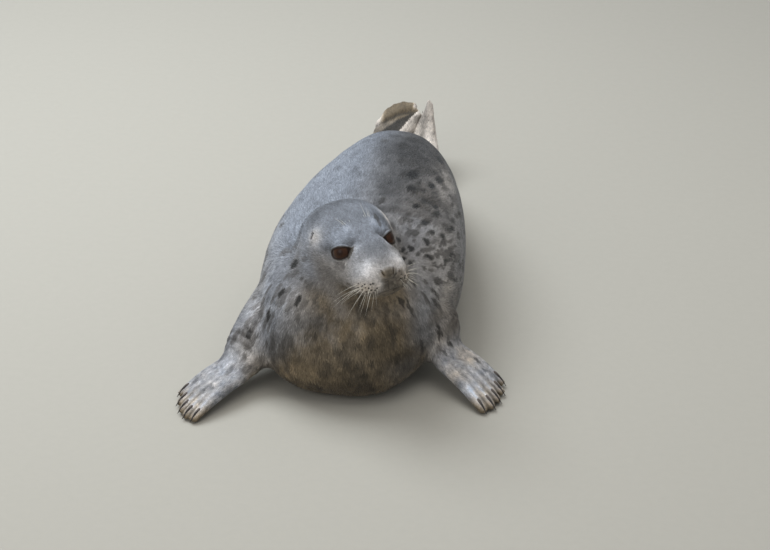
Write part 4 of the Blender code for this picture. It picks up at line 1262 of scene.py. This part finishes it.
def tuft_mesh(name, tufts, colours, chosen):
    """Slender closed spindles: sunk at the root, widest before the middle, drawn to a point."""
    take = {key: values[chosen] for key, values in tufts.items()}
    count = len(take["root"])
    half = take["half"][:, None]
    sunk = take["root"] - take["along"] * (0.10 * take["length"])[:, None] - take["normal"] * TUFT_SINK
    middle, side = take["middle"], take["side"] * half
    verts = np.stack((sunk, middle + side, middle - side, middle + take["middle_normal"] * half * 0.7,
                      take["end"]), axis=1)
    verts[:, :, 2] = np.maximum(verts[:, :, 2], FLOOR_GAP)
    order = np.array(TUFT_FACES).ravel()
    loops = (order[None, :] + TUFT_VERTS * np.arange(count)[:, None]).ravel()
    faces = count * len(TUFT_FACES)
    mesh = bpy.data.meshes.new(name)
    mesh.vertices.add(count * TUFT_VERTS)
    mesh.vertices.foreach_set("co", verts.astype(np.float32).ravel())
    mesh.loops.add(len(loops))
    mesh.loops.foreach_set("vertex_index", loops.astype(np.int32))
    mesh.polygons.add(faces)
    mesh.polygons.foreach_set("loop_start", (3 * np.arange(faces)).astype(np.int32))
    mesh.update(calc_edges=True)
    uv = take["uv"][:, None, :] + BAKE_PATCH * np.array(TUFT_PATCH)[None, :, :]
    layer = mesh.uv_layers.new(name="OFBake")
    layer.data.foreach_set("uv", uv.reshape(-1, 2)[loops].astype(np.float32).ravel())
    put_paint(mesh, np.repeat(take["root"], TUFT_VERTS, axis=0),
              np.repeat(colours[chosen], TUFT_VERTS, axis=0),
              np.repeat(take["shade"], TUFT_VERTS), np.tile(TUFT_TIP, count))
    mesh.shade_smooth()
    soft = unit(normals_of(mesh) * 0.7 + np.repeat(take["normal"], TUFT_VERTS, axis=0) * 0.9)
    mesh.normals_split_custom_set_from_vertices(soft.astype(np.float32))
    return new_object(name, mesh)


def grow_coat(skin, lie, region, colours, spots, pores, material):
    """The tufts, in pieces that follow the nodes of flesh."""
    count = TUFT_COUNT
    tufts = sow_tufts(skin, lie, region, colours, count)
    comb(tufts)
    tree = BVHTree.FromObject(skin, bpy.context.evaluated_depsgraph_get())
    reach = tufts["along"] * tufts["length"][:, None]
    middle, middle_normal = lay_on(tree, tufts["root"] + reach * 0.38)
    end, end_normal = lay_on(tree, tufts["root"] + reach)
    scale = tufts["length"][:, None] / BODY_TUFT[0]
    lift = rng.uniform(0.2, 1.0, (count, 1))
    tufts["middle"] = middle + middle_normal * (0.0002 + 0.0005 * scale * (0.5 + 0.5 * lift))
    tufts["middle_normal"] = middle_normal
    tufts["end"] = end + end_normal * (0.0002 + 0.0012 * scale * lift)
    tufts["shade"] = rng.normal(0.0, 0.55, count)
    roots = paint(tufts["root"], spots, pores)
    for index, name in enumerate(FLESH):
        members = np.where(tufts["region"] == index)[0]
        members = members[np.argsort(tufts["root"][members, 0], kind="stable")]
        parts = max(1, math.ceil(len(members) / PIECE_LIMIT))
        for number, chosen in enumerate(np.array_split(members, parts)):
            if len(chosen) == 0:
                continue
            label = "coat_%s" % name if parts == 1 else "coat_%s_%d" % (name, number + 1)
            piece = tuft_mesh(label, tufts, roots, chosen)
            piece.data.materials.append(material)
            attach(piece, "root")


# ---------------------------------------------------------------------------------------------
# Eyes, lids, claws and whiskers
# ---------------------------------------------------------------------------------------------
def mesh_piece(name, verts, faces, material):
    mesh = bpy.data.meshes.new(name)
    mesh.from_pydata([tuple(vert) for vert in verts], [], faces)
    mesh.materials.append(material)
    mesh.shade_smooth()
    mesh.update()
    piece = new_object(name, mesh)
    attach(piece, "root")
    return piece


def band_faces(rows, columns, closed=False):
    """Faces between rings of vertices; a closed band also joins its last ring to its first."""
    return [(i * columns + j, i * columns + (j + 1) % columns,
             (i + 1) % rows * columns + (j + 1) % columns, (i + 1) % rows * columns + j)
            for i in range(rows if closed else rows - 1) for j in range(columns)]


CORNEA_BULGE = 0.0008
LIMBUS = 0.80                  # the edge of the iris, in radians from the optical axis


def build_eye(side_name, side, material):
    """A ball with a slight corneal bulge; `turn` runs from the pupil's middle to the limbus."""
    centre, axis, inward, upward = eye_frame(side)
    rings, segments = 40, 64
    verts, turn = [], []
    for i in range(rings + 1):
        swing = math.pi * i / rings
        radius = EYE_RADIUS + CORNEA_BULGE * math.exp(-(swing / 0.55) ** 2)
        for j in range(segments):
            around = 2 * math.pi * j / segments
            ray = (axis * math.cos(swing) + inward * (math.sin(swing) * math.cos(around))
                   + upward * (math.sin(swing) * math.sin(around)))
            verts.append(from_head(centre + ray * radius))
            turn.append(min(1.0, swing / LIMBUS))
    eye = mesh_piece("eyeball_" + side_name, verts, band_faces(rings + 1, segments), material)
    add_numbers(eye.data, "turn", turn)
    close_poles(eye.data)
    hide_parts("eye_" + side_name)


def close_poles(mesh):
    """Weld what lies in one place and turn every face outward."""
    bm = bmesh.new()
    bm.from_mesh(mesh)
    bmesh.ops.remove_doubles(bm, verts=bm.verts, dist=1e-6)
    bmesh.ops.recalc_face_normals(bm, faces=bm.faces)
    bm.to_mesh(mesh)
    bm.free()


LID_STATIONS = 120
# Cross section of a lid's edge: arc past the opening, height above the eyeball.
LID_SECTION = ((0.0000, -0.0012), (0.0000, 0.0002), (0.0004, 0.0009), (0.0012, 0.0014), (0.0022, 0.0015),
               (0.0032, 0.0011), (0.0040, 0.0002), (0.0042, -0.0014), (0.0026, -0.0028), (0.0008, -0.0026))


def build_lid(side_name, side, material):
    """The dark wet edge of both lids, one ring round the eye."""
    centre, axis, inward, upward = eye_frame(side)
    verts = []
    for k in range(LID_STATIONS):
        angle = 2 * math.pi * k / LID_STATIONS
        edge = float(lid_reach(np.array(angle)))
        outward = inward * math.cos(angle) + upward * math.sin(angle)
        for past, height in LID_SECTION:
            swing = (edge + past) / EYE_RADIUS
            ray = axis * math.cos(swing) + outward * math.sin(swing)
            verts.append(from_head(centre + ray * (EYE_RADIUS + height)))
    faces = band_faces(LID_STATIONS, len(LID_SECTION), closed=True)
    lid = mesh_piece("eyelid_" + side_name, verts, faces, material)
    close_poles(lid.data)


CLAW_GAP = 0.0006              # between a claw's middle line and the skin under it


def lay_claw(points, axis, tree):
    """Lift a claw until it lies along the top of its digit."""
    middle = points.mean(axis=0)
    along = (points - middle) @ axis
    stations = np.linspace(along.min(), along.max(), 9)
    lift = []
    for station in stations:
        place = middle + axis * station
        hit = tree.ray_cast(Vector((place[0], place[1], 0.2)), Vector((0, 0, -1)))
        top = hit[0][2] if hit[0] is not None and hit[0][2] < 0.08 else 0.0
        lift.append(max(0.0, top + CLAW_GAP - place[2]))
    slope = np.polyfit(stations, lift, 2)
    points = points.copy()
    points[:, 2] += np.maximum(np.polyval(slope, along), 0.0)
    return points


def rounded_claw(node, material):
    """The plain cone of a node, welded and rounded off."""
    bm = bmesh.new()
    bm.from_mesh(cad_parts[node].data)
    bmesh.ops.remove_doubles(bm, verts=bm.verts, dist=1e-6)
    mesh = bpy.data.meshes.new("horn_" + node)
    bm.to_mesh(mesh)
    bm.free()
    mesh.materials.clear()
    mesh.materials.append(material)
    claw = new_object("horn_" + node, mesh)
    rounding = claw.modifiers.new("Round", "SUBSURF")
    rounding.levels = rounding.render_levels = 2
    fresh = bpy.data.meshes.new_from_object(
        claw.evaluated_get(bpy.context.evaluated_depsgraph_get()))
    claw.modifiers.clear()
    claw.data = fresh
    return claw


FORE_CLAW_BACK = 0.0135                        # how far a fore claw is drawn back into its digit
HIND_CLAW_BACK = 0.006
HIND_CLAW_SHIFT = (0.0016, 0.0028, -0.0042)    # sets the hind claws on the moved webs


def build_claws(material, tree):
    """Rounded horn cones in the place of the plain ones."""
    nodes = [(limb, side, "claw_%s_%s_%d" % (limb, side, digit))
             for limb in ("fore", "hind") for side, _ in SIDES for digit in range(1, 6)]
    for limb, side, node in nodes:
        claw = rounded_claw(node, material)
        points = coordinates(claw.data)
        axis = unit(np.linalg.svd(points - points.mean(axis=0), full_matrices=False)[2][0])
        root = FORE_LIMBS[side]["wrist"] if limb == "fore" else BETWEEN_ANKLES
        if np.dot(axis, points.mean(axis=0) - np.array(root)) < 0:
            axis = -axis
        if limb == "fore":
            points = lay_claw(points - axis * FORE_CLAW_BACK, axis, tree)
        else:
            points += np.array(HIND_CLAW_SHIFT) - axis * HIND_CLAW_BACK
        set_coordinates(claw.data, points)
        along = points @ axis
        add_numbers(claw.data, "along", (along - along.min()) / (along.max() - along.min()))
        claw.data.shade_smooth()
        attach(claw, "root")
        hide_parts(node)


def curve_through(a, b, c, d, count):
    """A bent line from a to d, drawn towards b and c on the way."""
    t = np.linspace(0, 1, count)[:, None]
    u = 1 - t
    return a * u ** 3 + b * (3 * u * u * t) + c * (3 * u * t * t) + d * t ** 3


def hair_tube(path, radius, sides):
    """A tapered, slightly beaded tube along a path, closed at both ends."""
    verts, along = [], []
    count = len(path)
    helper = np.array((0.3, 0.2, 0.93))
    for k, point in enumerate(path):
        ahead = unit(path[min(k + 1, count - 1)] - path[max(k - 1, 0)])
        across = unit(np.cross(ahead, helper))
        up = np.cross(across, ahead)
        share = k / (count - 1)
        size = radius * (1 - 0.86 * share) * (1 + 0.10 * math.cos(k * math.pi))
        for i in range(sides):
            angle = 2 * math.pi * i / sides
            verts.append(point + across * (size * math.cos(angle)) + up * (size * math.sin(angle)))
            along.append(share)
    faces = band_faces(count, sides)
    faces.append(tuple(reversed(range(sides))))
    faces.append(tuple((count - 1) * sides + i for i in range(sides)))
    return verts, faces, along


LEFT_WHISKER_SHARE = 0.62                      # the left whiskers against the right ones
LEFT_BROW_LENGTHS = (0.016, 0.040, 0.034, 0.022)
WHISKER_POINTS = 14
WHISKER_SIDES = 6


def whisker_roots(tree):
    """Roots and directions of the whiskers of the muzzle and the brows, set on the skin."""
    muzzle, brows = [], []
    for _, side in SIDES:
        for row in range(4):
            for column in range(5 if row < 3 else 4):
                place = np.array((0.0255 + 0.0052 * column, -0.098 + 0.0060 * column + 0.001 * row,
                                  -0.036 - 0.0058 * row))
                place += rng.uniform(-0.0030, 0.0030, 3)
                out = np.array((0.55 + 0.08 * column, -0.70, -0.15))
                hit = tree.ray_cast(Vector(from_head(mirror(place + 0.03 * out, side))),
                                    Vector(HEAD_AXES @ mirror(-out, side)))
                if hit[0] is None:
                    continue
                length = 0.015 + 0.0070 * column + 0.0025 * row + rng.uniform(-0.004, 0.008)
                length *= LEFT_WHISKER_SHARE if side > 0 else 1.0
                droop = (0.20 + 0.20 * column, -0.20 + 0.14 * column, -0.75 + 0.15 * column - 0.06 * row)
                muzzle.append((np.array(hit[0]), np.array(hit[1]), HEAD_AXES @ mirror(droop, side), length))
        for number in range(4):
            guess = mirror(BROW, side) + (side * 0.0035 * (number - 2), 0.003 * (number % 2), 0.02)
            hit = tree.find_nearest(Vector(from_head(guess)))
            sweep = mirror((0.14 * (number - 1), 0.80, 0.16), side)
            length = LEFT_BROW_LENGTHS[number] if side > 0 else 0.014 + 0.005 * number
            brows.append((np.array(hit[0]), np.array(hit[1]), HEAD_AXES @ sweep, length))
    return muzzle, brows


def build_whiskers(muzzle, brows, material):
    """All whiskers as one piece; those of the muzzle sag, those of the brows stand up."""
    verts, faces, along = [], [], []
    down = np.array((0.0, 0.0, -1.0))
    for places, radius, normal_share, sag in ((muzzle, 0.00036, 0.60, 0.20), (brows, 0.00034, 0.25, 0.00)):
        for root, normal, sweep, length in places:
            way = unit(unit(normal) * normal_share + unit(sweep))
            way = unit(way + rng.normal(0.0, 0.10, 3))
            start = root - normal * 0.002
            lower = root + way * length * 0.4
            upper = root + way * length * 0.75 + down * length * sag * 0.4
            tip = root + way * length + down * length * sag
            path = curve_through(start, lower, upper, tip, WHISKER_POINTS)
            new_verts, new_faces, new_along = hair_tube(path, radius, WHISKER_SIDES)
            base = len(verts)
            verts += new_verts
            faces += [tuple(base + i for i in face) for face in new_faces]
            along += new_along
    whiskers = mesh_piece("whiskers", verts, faces, material)
    add_numbers(whiskers.data, "along", along)


# ---------------------------------------------------------------------------------------------
# Studio
# ---------------------------------------------------------------------------------------------
CAMERA_AZIMUTH = math.radians(11)
CAMERA_ELEVATION = math.radians(28)
CAMERA_DISTANCE = 4.0
CAMERA_TARGET = Vector((0.0388, -0.2449, 0.150))
FRAME_WIDTH = 1.47             # width seen at the target
SENSOR_WIDTH = 36.0
FLOOR_HALF_WIDTH = 9.0
ROOM_COLOUR = (0.94, 0.97, 1.0, 1.0)
ROOM_STRENGTH = 0.47
# Panels of light: name, place, what it faces, width, power, colour.
PANELS = (
    ("sky panel", (-1.7, 0.9, 3.0), (0, -0.1, 0.1), 2.4, 118.0, (0.88, 0.94, 1.0)),
    ("overhead panel", (0.3, -0.4, 3.4), (0, -0.1, 0.1), 3.0, 34.0, (1.0, 0.99, 0.97)),
    ("front panel", (-1.8, -3.4, 1.9), (0, -0.3, 0.15), 2.6, 26.0, (1.0, 0.985, 0.96)),
)


def aim(obj, target):
    obj.rotation_euler = (Vector(target) - obj.location).to_track_quat("-Z", "Y").to_euler()


def area_light(name, place, target, size, power, colour):
    data = bpy.data.lights.new(name, "AREA")
    data.shape = "DISK"
    data.size = size
    data.energy = power
    data.color = colour
    light = bpy.data.objects.new(name, data)
    light.location = place
    bpy.context.scene.collection.objects.link(light)
    aim(light, target)


def build_floor():
    mesh = bpy.data.meshes.new("floor")
    bm = bmesh.new()
    bmesh.ops.create_grid(bm, x_segments=8, y_segments=8, size=FLOOR_HALF_WIDTH)
    bm.to_mesh(mesh)
    bm.free()
    mesh.materials.append(floor_finish())
    new_object("floor", mesh)


def build_light():
    world = bpy.data.worlds.new("soft room")
    world.use_nodes = True
    background = world.node_tree.nodes["Background"]
    background.inputs["Color"].default_value = ROOM_COLOUR
    background.inputs["Strength"].default_value = ROOM_STRENGTH
    bpy.context.scene.world = world
    for panel in PANELS:
        area_light(*panel)


def build_camera():
    data = bpy.data.cameras.new("camera")
    data.sensor_width = SENSOR_WIDTH
    data.lens = SENSOR_WIDTH * CAMERA_DISTANCE / FRAME_WIDTH
    camera = bpy.data.objects.new("camera", data)
    away = Vector((math.sin(CAMERA_AZIMUTH) * math.cos(CAMERA_ELEVATION),
                   -math.cos(CAMERA_AZIMUTH) * math.cos(CAMERA_ELEVATION), math.sin(CAMERA_ELEVATION)))
    camera.location = CAMERA_TARGET + away * CAMERA_DISTANCE
    aim(camera, CAMERA_TARGET)
    bpy.context.scene.collection.objects.link(camera)
    bpy.context.scene.camera = camera
    bpy.context.scene.view_settings.view_transform = "Standard"


def main():
    build_floor()
    build_light()
    build_camera()
    skin, region = build_skin()
    mesh = skin.data
    points = coordinates(mesh)
    normals = normals_of(mesh)
    lie = coat_lie(points, normals, region, edges_of(mesh))
    tree = BVHTree.FromObject(skin, bpy.context.evaluated_depsgraph_get())
    muzzle, brows = whisker_roots(tree)
    pores = [root for root, _, _, _ in muzzle]
    spots = scatter_spots(points, lie)
    colours = paint(points, spots, pores)
    put_paint(mesh, points, colours, np.zeros(len(points)), np.full(len(points), 0.5))
    unwrap(skin)
    mesh.materials.clear()
    mesh.materials.append(coat_finish("skin and short hair", True))
    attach(skin, "root")
    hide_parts(*FLESH)
    grow_coat(skin, lie, region, colours, spots, pores, coat_finish("coat tufts", False))
    eye_material = eye_finish()
    lid_material = lid_finish()
    for side_name, side in SIDES:
        build_eye(side_name, side, eye_material)
        build_lid(side_name, side, lid_material)
    build_claws(claw_finish(), tree)
    build_whiskers(muzzle, brows, whisker_finish())


main()
